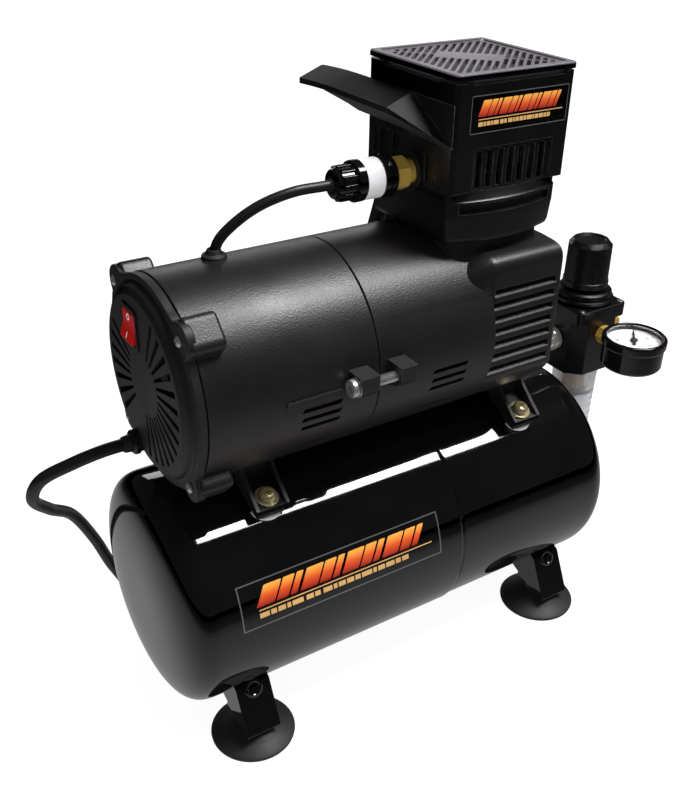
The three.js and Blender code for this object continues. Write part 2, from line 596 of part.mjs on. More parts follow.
// ---------------------------------------------------------------- pump head housing
function buildHeadHousing() {
  const { x, half, neckTop, baseTop } = HEAD;
  const [z0, z1] = HEAD.shroud;
  const [x0, x1] = [x - half, x + half];

  const baseOutline = roundedRect(x - 31, -32.5, x + 31, 32.5, 7);
  const base = cut(
    prism(baseOutline, "z", [neckTop + 0.4, baseTop]),
    prism(roundedRect(x - 28, -29.5, x + 28, 29.5, 5), "z", [246, baseTop + 1]),
    rodZ(x, 0, [neckTop - 1, 247], BORE + SLEEVE_WALL + GAP, 36),
    rodZ(x, 0, [neckTop - 1, 243], 27.3, 36),
    box([x - 20, x + 24], [-34, -31.3], [251.7, 256]),
    rodX([x - 33, x - 25], SWITCH.y, SWITCH.z, 8.2, 20),
    rod(v3(60, 27, SWITCH.z - 1), v3(60, 35, SWITCH.z - 1), 7.2, 18),
  );
  add("head_base", base, "blackPlastic");

  const wall = 2.4;
  let shroud = cut(
    prism(roundedRect(x0, -half, x1, half, 2), "z", HEAD.shroud),
    prism(roundedRect(x0 + wall, -half + wall, x1 - wall, half - wall, 1.5), "z", [z0 - 1, z1 + 1]),
    rodX([x0 - 2, x0 + 5], SWITCH.y, SWITCH.z, 8.2, 20),
    rod(v3(60, half - 5, SWITCH.z - 1), v3(60, half + 2, SWITCH.z - 1), 7.2, 18),
    box([30, 75], [-half - 1, -half + 0.9], [z0 - 1, 281]),
  );
  for (let i = 0; i < 7; i += 1) {
    const slotX = 33 + i * 6.2;
    shroud = cut(shroud, box([slotX - 1.3, slotX + 1.3], [-half - 1, -half + 4], [z0 + 0.8, 279.5]),
      box([slotX - 1.3, slotX + 1.3], [half - 4, half + 1], [z0 + 12, 290]));
  }
  add("head_shroud", shroud, "blackPlastic");

  // Grille: diagonal slots in four quarters that point towards a plain middle panel.
  let grille = join(
    prism(roundedRect(x0 - 0.2, -half - 0.2, x1 + 0.2, half + 0.2, 2), "z", [z1 + 0.9, HEAD.top]),
    cut(
      box([x0 + wall + 0.9, x1 - wall - 0.9], [-half + wall + 0.9, half - wall - 0.9], [z1 - 4, z1 + 1.5]),
      box([x0 + wall + 2.4, x1 - wall - 2.4], [-half + wall + 2.4, half - wall - 2.4], [z1 - 5, z1 + 0.9]),
    ),
  );
  const quarters = [[-1, -1], [-1, 1], [1, -1], [1, 1]];
  const pitch = 4.4;
  for (const [sx, sy] of quarters)
    for (let i = 0; i < 6; i += 1) {
      const slot = new THREE.BoxGeometry(i === 0 || i === 5 ? 9 : 15, 1.9, 8);
      slot.rotateZ(sx * sy * deg(45));
      slot.translate(x + sx * (6 + i * pitch), sy * (27.5 - i * pitch), HEAD.top);
      grille = cut(grille, solid(slot));
    }
  add("top_grille", grille, "blackPlastic");
}

function buildHeadFan() {
  const { x } = HEAD;
  const [z0, z1] = [282, 296];
  const ring = cut(box([x - 30, x + 30], [-30, 30], [z0, z1]), rodZ(x, 0, [z0 - 1, z1 + 1], 28, 32));
  const arm = box([x - 29, x + 29], [-2, 2], [z0, z0 + 2.5]);
  const arms = [45, 135].map((a) => turnedBy(arm, v3(0, 0, 1), a, [x, 0, 0]));
  const motor = join(rodZ(x, 0, [z0, z0 + 4], 9, 20), rodZ(x, 0, [z0, z0 + 9], 2.6, 12));
  add("head_fan_frame", join(ring, ...arms, motor), "blackPlastic");

  const hub = cut(rodZ(x, 0, [z0 + 4.4, z1 - 0.6], 11, 24), rodZ(x, 0, [z0 + 3, z0 + 9.4], 2.6 + GAP, 12));
  const blade = new THREE.BoxGeometry(16.5, 10, 1.4);
  blade.rotateX(deg(38));
  blade.translate(x + 17.8, 0, (z0 + z1) / 2 + 1.8);
  const blades = [];
  for (let i = 0; i < 7; i += 1) blades.push(turnedBy(solid(blade), v3(0, 0, 1), (360 / 7) * i, [x, 0, 0]));
  add("head_fan", join(hub, ...blades), "blackPlastic");
}

// The handle is a wedge along the left face of the head that runs on past its rear corner.
function buildHandle() {
  const { out, tipY, inner } = HANDLE;
  const [low, high] = BELT;
  const tip = inner - out;
  const section = [[inner, low], [inner, high], [inner - 1.2, high], [tip, high - 5.4], [tip, high - 7.4]];
  const wedge = prism(section, "y", [-2, tipY]);
  const band = box([inner - 1.5, inner], [-33.5, 40], [low, high]);
  const slope = prism([[40, low - 5], [41, low - 1], [tipY + 1, high - 9.5],
    [tipY + 1, low - 5]], "x", [-5, 30]);
  const nose = new THREE.BoxGeometry(30, 20, 40);
  nose.rotateZ(deg(-30));
  nose.translate(inner - 21, -14.5, 290);
  add("carry_handle", join(cut(wedge, slope, solid(nose)), band), "blackPlastic");
}

// ---------------------------------------------------------------- pressure switch and its cable
function buildPressureSwitch() {
  const { y, z } = SWITCH;
  const hex = rodX([8, 14.5], y, z, 7.9, 6);
  const thread = rodX([14, 27], y, z, 4.1, 14);
  const tail = rodX([2, 9], y, z, 3.6, 14);
  add("switch_fitting", join(hex, thread, tail), "brass");
  const can = turned(
    [[3.9, 1.6], [3.9, 7.7], [9.6, 7.7], [10.4, 6.5], [10.4, 1.8], [11.2, 1], [11.2, -11],
      [10.4, -11.2], [10.4, -24.5],
      [9, -26.8], [6, -27.7], [2.9, -27.7], [2.9, -20], [0, -20], [0, 1.6]].reverse(),
    28, "x", [0, y, z]);
  const ribs = [];
  for (let i = 0; i < 10; i += 1) {
    const rib = box([-24, -11.6], [y - 1.3, y + 1.3], [z + 9.5, z + 11.3]);
    ribs.push(turnedBy(rib, v3(1, 0, 0), i * 36, [0, y, z]));
  }
  add("pressure_switch", join(can, ...ribs), "blackPlastic");

  const lead = cable([[-21, y, z], [-30, y, z], [-45, y + 1, z - 0.5], [-60, y + 4, z - 5],
    [-71, y + 7, z - 12],
    [-78, y + 10, z - 20], [-80, y + 11, z - 27], [-80, y + 11, z - 36]], 2.4, 18, 8);
  const grommetSide = [[0, 228], [3.1, 228], [3.1, 238.6], [6.4, 239.4], [6, 241.4], [3.4, 245.5],
    [0, 245.5]];
  const grommet = turned(grommetSide, 16, "z", [-80, 8, 0]);
  add("switch_cable", join(lead, grommet), "rubber");
}

// ---------------------------------------------------------------- pipework on the tank
function buildPipework() {
  const [checkIn, checkOut] = portEnds(PORTS.check, 52, 76);
  const out = checkOut.clone().sub(checkIn).normalize();
  const base = onTank(PORTS.check.x, PORTS.check.angle, 63.4);
  const elbowEnd = checkOut.clone().add(v3(0, 0, 10));
  add("check_valve", join(
    rod(checkIn, checkOut, 4.1, 14),
    rod(base, base.clone().addScaledVector(out, 6), 8, 6),
    rod(checkOut.clone().add(v3(0, 0, -4)), elbowEnd, 4.9, 14),
  ), "brass");

  // The hose and its crimped union are one piece, from the cylinder head down to the check valve.
  const unionZ = SWITCH.z - 1;
  const union = join(
    rod(v3(60, 24, unionZ), v3(60, 46, unionZ), 3.9, 14),
    rod(v3(60, 35.2, unionZ), v3(60, 41, unionZ), 6.5, 6),
  );
  const end = elbowEnd.clone().add(v3(0, 0, GAP));
  const hose = cable([[60, 44, unionZ], [60, 55, unionZ - 1], [57, 64, unionZ - 14], [50, 70, 215],
    [42, 72, 180],
    [32, 66, 156], [30, end.y, end.z + 12], [30, end.y, end.z]], 4.6, 22, 8);
  add("air_hose", join(union, hose), "rubber");

  // The outlet rises from the tank and turns towards the regulator.
  const { x } = PORTS.outlet;
  const y = PORTS.outlet.lean;
  const riser = join(
    rodZ(x, y, [122, 140], 4.1, 14),
    rodZ(x, y, [136.4, 147], 7, 16),
    rodX([x, 118], y, REG.portZ, 5.6, 16),
  );
  add("outlet_elbow", cut(riser, rodX([108, 119], y, REG.portZ, 4.2, 14)), "blackSatin");
  const nipple = join(
    rodX([110, REG.x - 9], y, REG.portZ, 3.6, 14),
    rodX([118.3, 129], y, REG.portZ, 7.4, 6),
    rodX([130, REG.x - REG.half - GAP], y, REG.portZ, 7, 20),
    rodX([128, 131], y, REG.portZ, 5.4, 16),
  );
  add("inlet_nipple", nipple, "steel");

  add("drain_valve", join(
    rodZ(0, 0, [8, 20], 3.4, 14),
    rodZ(0, 0, [4.4, 8.6], 6.4, 16),
    box([-9, 9], [-1.4, 1.4], [1.6, 5]),
  ), "brass");

  const [safeIn, safeOut] = portEnds(PORTS.safety, 52, 82);
  const safeAxis = safeOut.clone().sub(safeIn).normalize();
  const seat = onTank(PORTS.safety.x, PORTS.safety.angle, 63.4);
  const along = (distance) => seat.clone().addScaledVector(safeAxis, distance);
  const body = join(
    rod(safeIn, along(16), 4.1, 14),
    rod(seat, along(6), 7.6, 6),
    rod(along(5.5), along(16), 5.4, 16),
  );
  add("safety_valve", cut(body, rod(along(8), along(18), 2.4, 12)), "brass");
  const ring = new THREE.TorusGeometry(6, 0.9, 6, 16);
  ring.rotateY(Math.PI / 2);
  ring.translate(...along(25.2).toArray());
  add("safety_ring", join(solid(ring), rod(along(9), along(20), 2, 12)), "steel");
}

// ---------------------------------------------------------------- filter regulator and gauge
function octagon(half, corner) {
  const near = half - corner;
  const outline = [[-half, -near], [-near, -half], [near, -half], [half, -near], [half, near], [near, half],
    [-near, half], [-half, near]];
  return outline.map(([a, b]) => [a + REG.x, b + REG.y]);
}

function buildRegulator() {
  const { x, y, half, portZ } = REG;
  const [z0, z1] = REG.bodyZ;
  const block = join(
    prism(octagon(half, 8), "z", REG.bodyZ),
    prism(roundedRect(x - half, y - half, x + half, y + half, 3), "z", [z1 - 0.5, z1 + 6]),
    rodZ(x, y, [z1 + 5.5, KNOB.z[0] - 1.2], 15.2, 28),
    rodZ(x, y, [z1 + 8, z1 + 10.5], 17.6, 28),
  );
  const body = cut(
    block,
    rodX([x - half - 1, x - 8], y, portZ, 4.2, 14),
    rodX([x + 8, x + half + 1], y, portZ, 4.2, 14),
    rod(v3(x, y - half - 1, 148), v3(x, y - half + 7, 148), 4.2, 14),
    rodZ(x, y, [z1 - 6, KNOB.z[0]], 5, 16),
    rodZ(x, y, [z0 - 1, z0 + 8], REG.bowl - 2.6, 28),
    rodZ(x, y, [z0 + 5, portZ], 3.4, 14),
  );
  add("regulator_body", body, "blackPlastic");

  const { radius } = KNOB;
  const [k0, k1] = KNOB.z;
  const knob = turned(
    [[0, k1], [radius - 1.6, k1], [radius, k1 - 1.8], [radius + 0.5, k0 + 3], [radius + 0.5, k0],
      [radius - 2, k0], [radius - 2, k1 - 7], [0, k1 - 7]].reverse(),
    32, "z", [x, y, 0]);
  const flats = [];
  for (let i = 0; i < 12; i += 1) {
    const groove = rodZ(x + radius + 1.7, y, [k0 + 2, k1 - 3], 1.7, 8);
    flats.push(turnedBy(groove, v3(0, 0, 1), i * 30, [x, y, 0]));
  }
  add("regulator_knob", cut(knob, ...flats), "blackPlastic");
  add("regulator_spindle", join(
    rodZ(x, y, [z1 - 3, k1 - 12], 4.4, 16),
    rodZ(x, y, [k0 + 3, k0 + 9], 9.6, 20),
  ), "steel");

  const { bowl } = REG;
  const cup = turned(
    [[bowl - 3, z0 + 6], [bowl - 5, z0 + 6], [bowl - 5.4, z0 - 12], [bowl - 5.8, 70], [bowl - 8, 63.4],
      [3.4, 62],
      [3.4, 59], [6, 59], [bowl - 4.6, 61], [bowl - 2.6, 66], [bowl - 1.4, 74], [bowl, z0 - 7],
      [bowl, z0 - GAP],
      [bowl - 3, z0 - GAP]],
    28, "z", [x, y, 0]);
  add("filter_bowl", cup, "clear");
  add("filter_element", join(
    rodZ(x, y, [104, z0 + 7.5], 7, 20),
    rodZ(x, y, [101, 104.5], 9, 20),
    rodZ(x, y, [97, 101.5], 3.6, 12),
  ), "sintered");
  const button = rodZ(x, y, [48.5, 56.5], 4.6, 16);
  add("bowl_drain", join(button, rodZ(x, y, [56, 66], 2.9, 12), rodZ(x, y, [65, 67], 3.2, 12)),
    "blackPlastic");
  add("air_outlet", join(
    rodX([x + 9, x + half + 14], y, portZ, 3.6, 14),
    rodX([x + half + GAP, x + half + 6], y, portZ, 6.6, 6),
  ), "brass");
}

function buildGauge() {
  const { x } = REG;
  const { y, radius } = GAUGE;
  const [z0, z1] = GAUGE.z;
  const stemZ = 148;
  const bezel = turned(
    [[0, z0], [radius - 2.4, z0], [radius - 0.9, z0 + 1.6], [radius - 0.9, z1 - 5], [radius, z1 - 4.4],
      [radius, z1 - 0.8],
      [radius - 0.8, z1], [radius - 2.4, z1], [radius - 2.4, z1 - 4.6], [0, z1 - 4.6]],
    36, "z", [x, y, 0]);
  const socket = rod(v3(x, y + 8, stemZ), v3(x, y + radius + 1, stemZ), 4.2, 14);
  const faceHole = rodZ(x, y, [z1 - 7.6, z1 - 4], 1.5, 12);
  add("gauge_case", cut(bezel, socket, faceHole), "blackPlastic");
  add("gauge_stem", join(
    rod(v3(x, y + 9, stemZ), v3(x, REG.y - REG.half + 6, stemZ), 3.6, 14),
    rod(v3(x, y + radius + 0.2, stemZ), v3(x, REG.y - REG.half - GAP, stemZ), 5.6, 6),
  ), "brass");
  const needleOutline = [[x - 0.9, y - 4], [x + 0.9, y - 4], [x + 0.35, y + 12.6], [x - 0.35, y + 12.6]];
  const needle = prism(needleOutline, "z", [z1 - 3.9, z1 - 3.3]);
  const pivot = rodZ(x, y, [z1 - 7, z1 - 2.9], 1.1, 12);
  const hub = rodZ(x, y, [z1 - 3.9, z1 - 2.9], 2.3, 16);
  add("gauge_pointer", turnedBy(join(needle, pivot, hub), v3(0, 0, 1), POINTER_REST, [x, y, 0]), "needle");
  add("gauge_lens", rodZ(x, y, [z1 - 2, z1 - 0.8], radius - 2.7, 36), "clear");
}

buildTank();
buildSuctionFeet();
buildMotorMounts();
buildLeftShell();
buildRightShell();
buildShellFittings();
buildEndCap();
buildRockerSwitch();
buildPowerCord();
buildMotorInternals();
buildPump();
buildHeadHousing();
buildHeadFan();
buildHandle();
buildPressureSwitch();
buildPipework();
buildRegulator();
buildGauge();

// The part's origin is the middle of its footprint, on the floor.
const bounds = new THREE.Box3().setFromObject(assembly);
const middle = bounds.getCenter(new THREE.Vector3());
assembly.position.set(-middle.x, -middle.y, -bounds.min.z);

const part = new THREE.Group();
part.add(assembly);
export default part;
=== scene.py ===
# Airbrush compressor: the finished surfaces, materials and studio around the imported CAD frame.
import math

import bmesh
import bpy
from mathutils import Matrix, Vector


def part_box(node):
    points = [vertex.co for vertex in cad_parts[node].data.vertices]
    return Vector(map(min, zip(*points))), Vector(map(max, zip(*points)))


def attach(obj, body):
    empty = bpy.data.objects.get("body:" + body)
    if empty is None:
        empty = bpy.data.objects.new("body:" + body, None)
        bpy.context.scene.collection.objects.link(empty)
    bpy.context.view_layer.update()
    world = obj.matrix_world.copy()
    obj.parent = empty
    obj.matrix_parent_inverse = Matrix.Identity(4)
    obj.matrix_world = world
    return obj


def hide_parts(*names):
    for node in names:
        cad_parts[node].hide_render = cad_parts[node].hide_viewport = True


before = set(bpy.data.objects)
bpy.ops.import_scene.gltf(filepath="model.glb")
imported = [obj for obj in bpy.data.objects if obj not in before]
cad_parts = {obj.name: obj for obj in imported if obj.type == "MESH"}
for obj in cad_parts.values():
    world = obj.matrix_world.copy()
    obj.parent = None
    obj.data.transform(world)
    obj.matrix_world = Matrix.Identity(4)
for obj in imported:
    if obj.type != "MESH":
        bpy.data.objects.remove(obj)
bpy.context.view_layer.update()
ROOT = "compressor"

# ---------------------------------------------------------------- shared frame
# Shapes are drawn in millimetres about the tank's middle on the floor, and placed in metres in the CAD frame.
tank_low, tank_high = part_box("tank_shell")
ORIGIN = Vector(((tank_low.x + tank_high.x) / 2, (tank_low.y + tank_high.y) / 2, 0))
MM = 0.001
TO_FRAME = Matrix.Translation(ORIGIN) @ Matrix.Scale(MM, 4)


def span(node):
    """Lowest and highest corner of a CAD node in the drawing frame, in millimetres."""
    low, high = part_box(node)
    return (low - ORIGIN) / MM, (high - ORIGIN) / MM


def middle(node):
    low, high = span(node)
    return (low + high) / 2


# ---------------------------------------------------------------- driving dimensions, in millimetres
TANK_Z, TANK_R, TANK_STRAIGHT, TANK_DOME, TANK_SEAM, TANK_STEP = 73, 60, 113, 21.8, 22.8, 0.8
FOOT_X, FOOT_Y, FOOT_RIM, SHELF_Z, SHELF = 97, 46, 21.7, 15, 2
MOUNT_X, MOUNT_Y, MOUNT_Z, MOUNT_TILT, TRAY, PAD = 78, 31.6, 131, math.radians(20), 2, 3.8
MOTOR_Z, MOTOR_R, MOTOR_WALL = middle("front_cover").z, 49.3, 2.6
LEFT = (span("motor_shell_left")[0].x, -27.9)
RIGHT = (-27.4, 82)
CAP_SEAM, CAP_FLANGE, CAP_FACE, CAP_BOLT, CAP_DISC = -112.5, -117, -121, 50.5, 44.5
CAP_R, LOBE_SEAT, LOBE_R, LOBE_SPREAD = MOTOR_R - 0.3, CAP_BOLT - 1.2, 8.3, 16
LUG_TOP, LUG_OUT, LUG_Y, LUG_Z = 197.5, 59.5, 55, 192
HEAD_X, HEAD_HALF = middle("head_shroud").x, 34
SHROUD = (span("head_shroud")[0].z, span("head_shroud")[1].z)
HEAD_TOP, NECK_TOP, BASE_TOP = span("top_grille")[1].z, 239.5, 261.7
BELT = (283, 301.5)
LOUVRE_TOP, LOUVRE_STEP, COVER_INSET, THREAD = 213.5, 7.0, 2, 0.72
PORT_SEAT, REAR_PORT = 63.2, 128  # distance of a port from the tank's axis, and its angle up from the front
SWITCH_Y, SWITCH_Z = -3, 265.5
ROCKER_Y, ROCKER_Z = 9, 213.5
GLAND_Y, GLAND_Z = 16, 150.5
REG_X, REG_Y, REG_HALF, REG_Z, PORT_Z, BOWL = 160, 10, 18.5, (122, 158), 142, 13.8
BOWL_SHIFT = 2.6  # the bowl hangs slightly to the right of the regulator's axis
KNOB_R, KNOB_Z = 12.9, (173.5, 201.2)
GAUGE_Y, GAUGE_Z, GAUGE_R = -33.5, (138.5, 157), 18.3
CORNERS = [(-1, -1, "front_left"), (1, -1, "front_right"), (-1, 1, "rear_left"), (1, 1, "rear_right")]

# ---------------------------------------------------------------- mesh helpers
TURN_X = Matrix(((0, 0, 1, 0), (1, 0, 0, 0), (0, 1, 0, 0), (0, 0, 0, 1)))  # drawn (y, z), depth along x
TURN_Y = Matrix(((1, 0, 0, 0), (0, 0, 1, 0), (0, 1, 0, 0), (0, 0, 0, 1)))  # drawn (x, z), depth along y
MIRROR = Matrix.Scale(-1, 4, (0, 1, 0))
TURN = {"x": TURN_X, "y": TURN_Y, "z": Matrix.Identity(4)}


def facing(direction):
    """The turn that takes +Z to a direction."""
    return Vector((0, 0, 1)).rotation_difference(Vector(direction)).to_matrix().to_4x4()


def spun(degrees, axis, point=(0, 0, 0)):
    """A turn about an axis through a point."""
    away = Matrix.Translation(point)
    return away @ Matrix.Rotation(math.radians(degrees), 4, axis) @ away.inverted()


def to_object(bm):
    bmesh.ops.recalc_face_normals(bm, faces=bm.faces)
    mesh = bpy.data.meshes.new("shape")
    bm.to_mesh(mesh)
    bm.free()
    obj = bpy.data.objects.new("shape", mesh)
    bpy.context.scene.collection.objects.link(obj)
    return obj


def fillet(points, radius=0.0, closed=True, steps=4):
    """Rounds the corners of an outline. A point may carry its own radius as a third number."""
    out = []
    count = len(points)
    for i, point in enumerate(points):
        here = Vector(point[:2])
        r = point[2] if len(point) > 2 else radius
        if r <= 0 or (not closed and i in (0, count - 1)):
            out.append(tuple(here))
            continue
        back = Vector(points[i - 1][:2]) - here
        on = Vector(points[(i + 1) % count][:2]) - here
        if back.length < 1e-6 or on.length < 1e-6:
            continue
        corner = back.angle(on)
        if corner > math.pi - 0.03:
            out.append(tuple(here))
            continue
        cut = min(r / math.tan(corner / 2), 0.48 * back.length, 0.48 * on.length)
        start, end = here + back.normalized() * cut, here + on.normalized() * cut
        for k in range(steps + 1):
            t = k / steps
            out.append(tuple(start * (1 - t) ** 2 + here * 2 * t * (1 - t) + end * t * t))
    return out


def rect(x0, y0, x1, y1, r=0.0, steps=5):
    return fillet([(x0, y0), (x1, y0), (x1, y1), (x0, y1)], r, steps=steps)


def lathe(profile, axis="z", centre=(0, 0, 0), seg=96):
    """Turns (radius, height) pairs about an axis. The profile closes on the axis or on itself."""
    bm = bmesh.new()
    rings = []
    for r, h in [p[:2] for p in profile]:
        if r < 1e-6:
            rings.append([bm.verts.new((0, 0, h))])
        else:
            turns = [2 * math.pi * i / seg for i in range(seg)]
            rings.append([bm.verts.new((r * math.cos(a), r * math.sin(a), h)) for a in turns])
    pairs = list(zip(rings, rings[1:]))
    if len(rings[0]) > 1 or len(rings[-1]) > 1:
        pairs.append((rings[-1], rings[0]))
    for a, b in pairs:
        if len(a) == 1 and len(b) == 1:
            continue
        for i in range(seg):
            j = (i + 1) % seg
            corners = [a[i % len(a)], a[j % len(a)], b[j % len(b)], b[i % len(b)]]
            bm.faces.new(list(dict.fromkeys(corners)))
    bm.transform(Matrix.Translation(centre) @ TURN[axis])
    return to_object(bm)


def turned(points, *where, **detail):
    """A lathe shape from an outline whose points may carry their own rounding."""
    return lathe(fillet(points, detail.pop("edge", 0), steps=detail.pop("steps", 4)), *where, **detail)


def prism(outline, axis, low, high):
    bm = bmesh.new()
    bottom = [bm.verts.new((a, b, low)) for a, b in outline]
    top = [bm.verts.new((a, b, high)) for a, b in outline]
    bm.faces.new(bottom)
    bm.faces.new(top)
    for i in range(len(outline)):
        j = (i + 1) % len(outline)
        bm.faces.new([bottom[i], bottom[j], top[j], top[i]])
    bm.transform(TURN[axis])
    return to_object(bm)


def loft(rings):
    """Joins rings with the same number of points into one closed skin."""
    bm = bmesh.new()
    made = [[bm.verts.new(p) for p in ring] for ring in rings]
    for a, b in zip(made, made[1:]):
        for i in range(len(a)):
            j = (i + 1) % len(a)
            bm.faces.new([a[i], a[j], b[j], b[i]])
    bm.faces.new(made[0])
    bm.faces.new(made[-1])
    return to_object(bm)


def box(x, y, z):
    return prism([(x[0], y[0]), (x[1], y[0]), (x[1], y[1]), (x[0], y[1])], "z", *z)


def rod(a, b, radius, end=None, seg=48, edge=0.0):
    a, b = Vector(a), Vector(b)
    length = (b - a).length
    profile = fillet([(0, 0), (radius, 0), (radius if end is None else end, length), (0, length)], edge,
                     False)
    obj = lathe(profile, seg=seg)
    return moved(obj, Matrix.Translation(a) @ facing(b - a))


def hexagon(a, b, radius, edge=0.5):
    """A hexagonal nut or body with chamfered corners."""
    a, b = Vector(a), Vector(b)
    length = (b - a).length
    body = rod((0, 0, 0), (0, 0, length), radius, seg=6)
    crown = turned([(0, 0), (radius * 0.9, 0), (radius * 1.01, 0.12 * radius),
                    (radius * 1.01, length - 0.12 * radius), (radius * 0.9, length), (0, length)])
    combine("INTERSECT", body, crown)
    soften(body, edge * 0.4, 1)
    return moved(body, Matrix.Translation(a) @ facing(b - a))


def moved(obj, matrix):
    obj.data.transform(matrix)
    if matrix.determinant() < 0:
        obj.data.flip_normals()
    return obj


def copy(obj, matrix=None):
    twin = bpy.data.objects.new("shape", obj.data.copy())
    bpy.context.scene.collection.objects.link(twin)
    return moved(twin, matrix) if matrix else twin


def corner(sx, sy):
    return f"{'left' if sx < 0 else 'right'}_{'front' if sy < 0 else 'rear'}"


def around(obj, count, x, y, first=0, lean=Matrix.Identity(4)):
    """Copies of a shape, leaned first, evenly round an upright axis at x, y. The shape itself goes."""
    ring = []
    for i in range(count):
        spin = Matrix.Translation((x, y, 0)) @ spun(first + i * 360 / count, "Z")
        ring.append(copy(obj, spin @ lean))
    bpy.data.objects.remove(obj)
    return ring


def about_motor(obj, degrees):
    return moved(obj, spun(degrees, "X", (0, 0, MOTOR_Z)))


def bake(obj):
    bpy.context.view_layer.update()
    graph = bpy.context.evaluated_depsgraph_get()
    mesh = bpy.data.meshes.new_from_object(obj.evaluated_get(graph))
    obj.modifiers.clear()
    obj.data = mesh


def merge(objects):
    """Puts separate closed shapes into one mesh."""
    bm = bmesh.new()
    for obj in objects:
        bm.from_mesh(obj.data)
        bpy.data.objects.remove(obj)
    return to_object(bm)


def combine(operation, obj, *tools):
    for tool in tools:
        change = obj.modifiers.new("join", "BOOLEAN")
        change.operation = operation
        change.solver = "MANIFOLD"
        change.object = tool
    bake(obj)
    for tool in tools:
        bpy.data.objects.remove(tool)
    return obj


def fuse(obj, *tools):
    return combine("UNION", obj, *tools)


def carve(obj, *tools):
    return combine("DIFFERENCE", obj, *tools)


def soften(obj, width, segments=2, angle=32):
    """Rounds the hard edges of a finished solid."""
    bm = bmesh.new()
    bm.from_mesh(obj.data)
    bmesh.ops.dissolve_limit(bm, angle_limit=0.004, verts=bm.verts, edges=bm.edges)
    bm.to_mesh(obj.data)
    bm.free()
    edge = obj.modifiers.new("edge", "BEVEL")
    edge.width = width
    edge.segments = segments
    edge.limit_method = "ANGLE"
    edge.angle_limit = math.radians(angle)
    edge.use_clamp_overlap = True
    bake(obj)
    return obj


def spline(points, count):
    """A centripetal Catmull-Rom curve through the points."""
    points = [Vector(p) for p in points]
    path = [points[0] * 2 - points[1], *points, points[-1] * 2 - points[-2]]
    lengths = [(b - a).length for a, b in zip(points, points[1:])]
    out = []
    for i in range(len(points) - 1):
        p0, p1, p2, p3 = path[i:i + 4]
        d0, d1, d2 = [(b - a).length ** 0.5 for a, b in ((p0, p1), (p1, p2), (p2, p3))]
        t1 = ((p1 - p0) / d0 - (p2 - p0) / (d0 + d1) + (p2 - p1) / d1) * d1
        t2 = ((p2 - p1) / d1 - (p3 - p1) / (d1 + d2) + (p3 - p2) / d2) * d1
        steps = max(2, round(count * lengths[i] / sum(lengths)))
        for k in range(steps):
            t = k / steps
            square, cube = 3 * (p2 - p1) - 2 * t1 - t2, 2 * (p1 - p2) + t1 + t2
            out.append(p1 + t1 * t + square * t * t + cube * t ** 3)
    return [*out, points[-1]]


def sweep(points, radius, count=120, seg=20, bulge=None):
    """A round cable along a curve. bulge(distance) adds to its radius."""
    path = spline(points, count)
    rings = []
    side = None
    gone = 0.0
    for i, here in enumerate(path):
        along = (path[min(i + 1, len(path) - 1)] - path[max(i - 1, 0)]).normalized()
        if side is None:
            side = along.orthogonal().normalized()
        side = (side - along * side.dot(along)).normalized()
        up = along.cross(side)
        if i:
            gone += (here - path[i - 1]).length
        r = radius + (bulge(gone) if bulge else 0)
        turns = [2 * math.pi * k / seg for k in range(seg)]
        rings.append([here + side * (r * math.cos(a)) + up * (r * math.sin(a)) for a in turns])
    return loft(rings)


# ---------------------------------------------------------------- materials
def feed(node, inputs):
    for socket, value in inputs.items():
        if isinstance(value, bpy.types.NodeSocket):
            node.id_data.links.new(value, node.inputs[socket])
        else:
            node.inputs[socket].default_value = value


def add_node(tree, kind, inputs=(), **settings):
    """A new shader node. An input takes a number, a colour or another node's output."""
    node = tree.nodes.new("ShaderNode" + kind)
    for key, value in settings.items():
        setattr(node, key, value)
    feed(node, dict(inputs))
    return node


def let_light_through(tree):
    """Shadow rays pass a clear part unbent, so what lies behind it stays lit."""
    is_shadow = add_node(tree, "LightPath").outputs["Is Shadow Ray"]
    surface = tree.nodes["Principled BSDF"].outputs["BSDF"]
    bare = add_node(tree, "BsdfTransparent").outputs["BSDF"]
    pick = add_node(tree, "MixShader", {"Fac": is_shadow, 1: surface, 2: bare})
    tree.links.new(pick.outputs["Shader"], tree.nodes["Material Output"].inputs["Surface"])


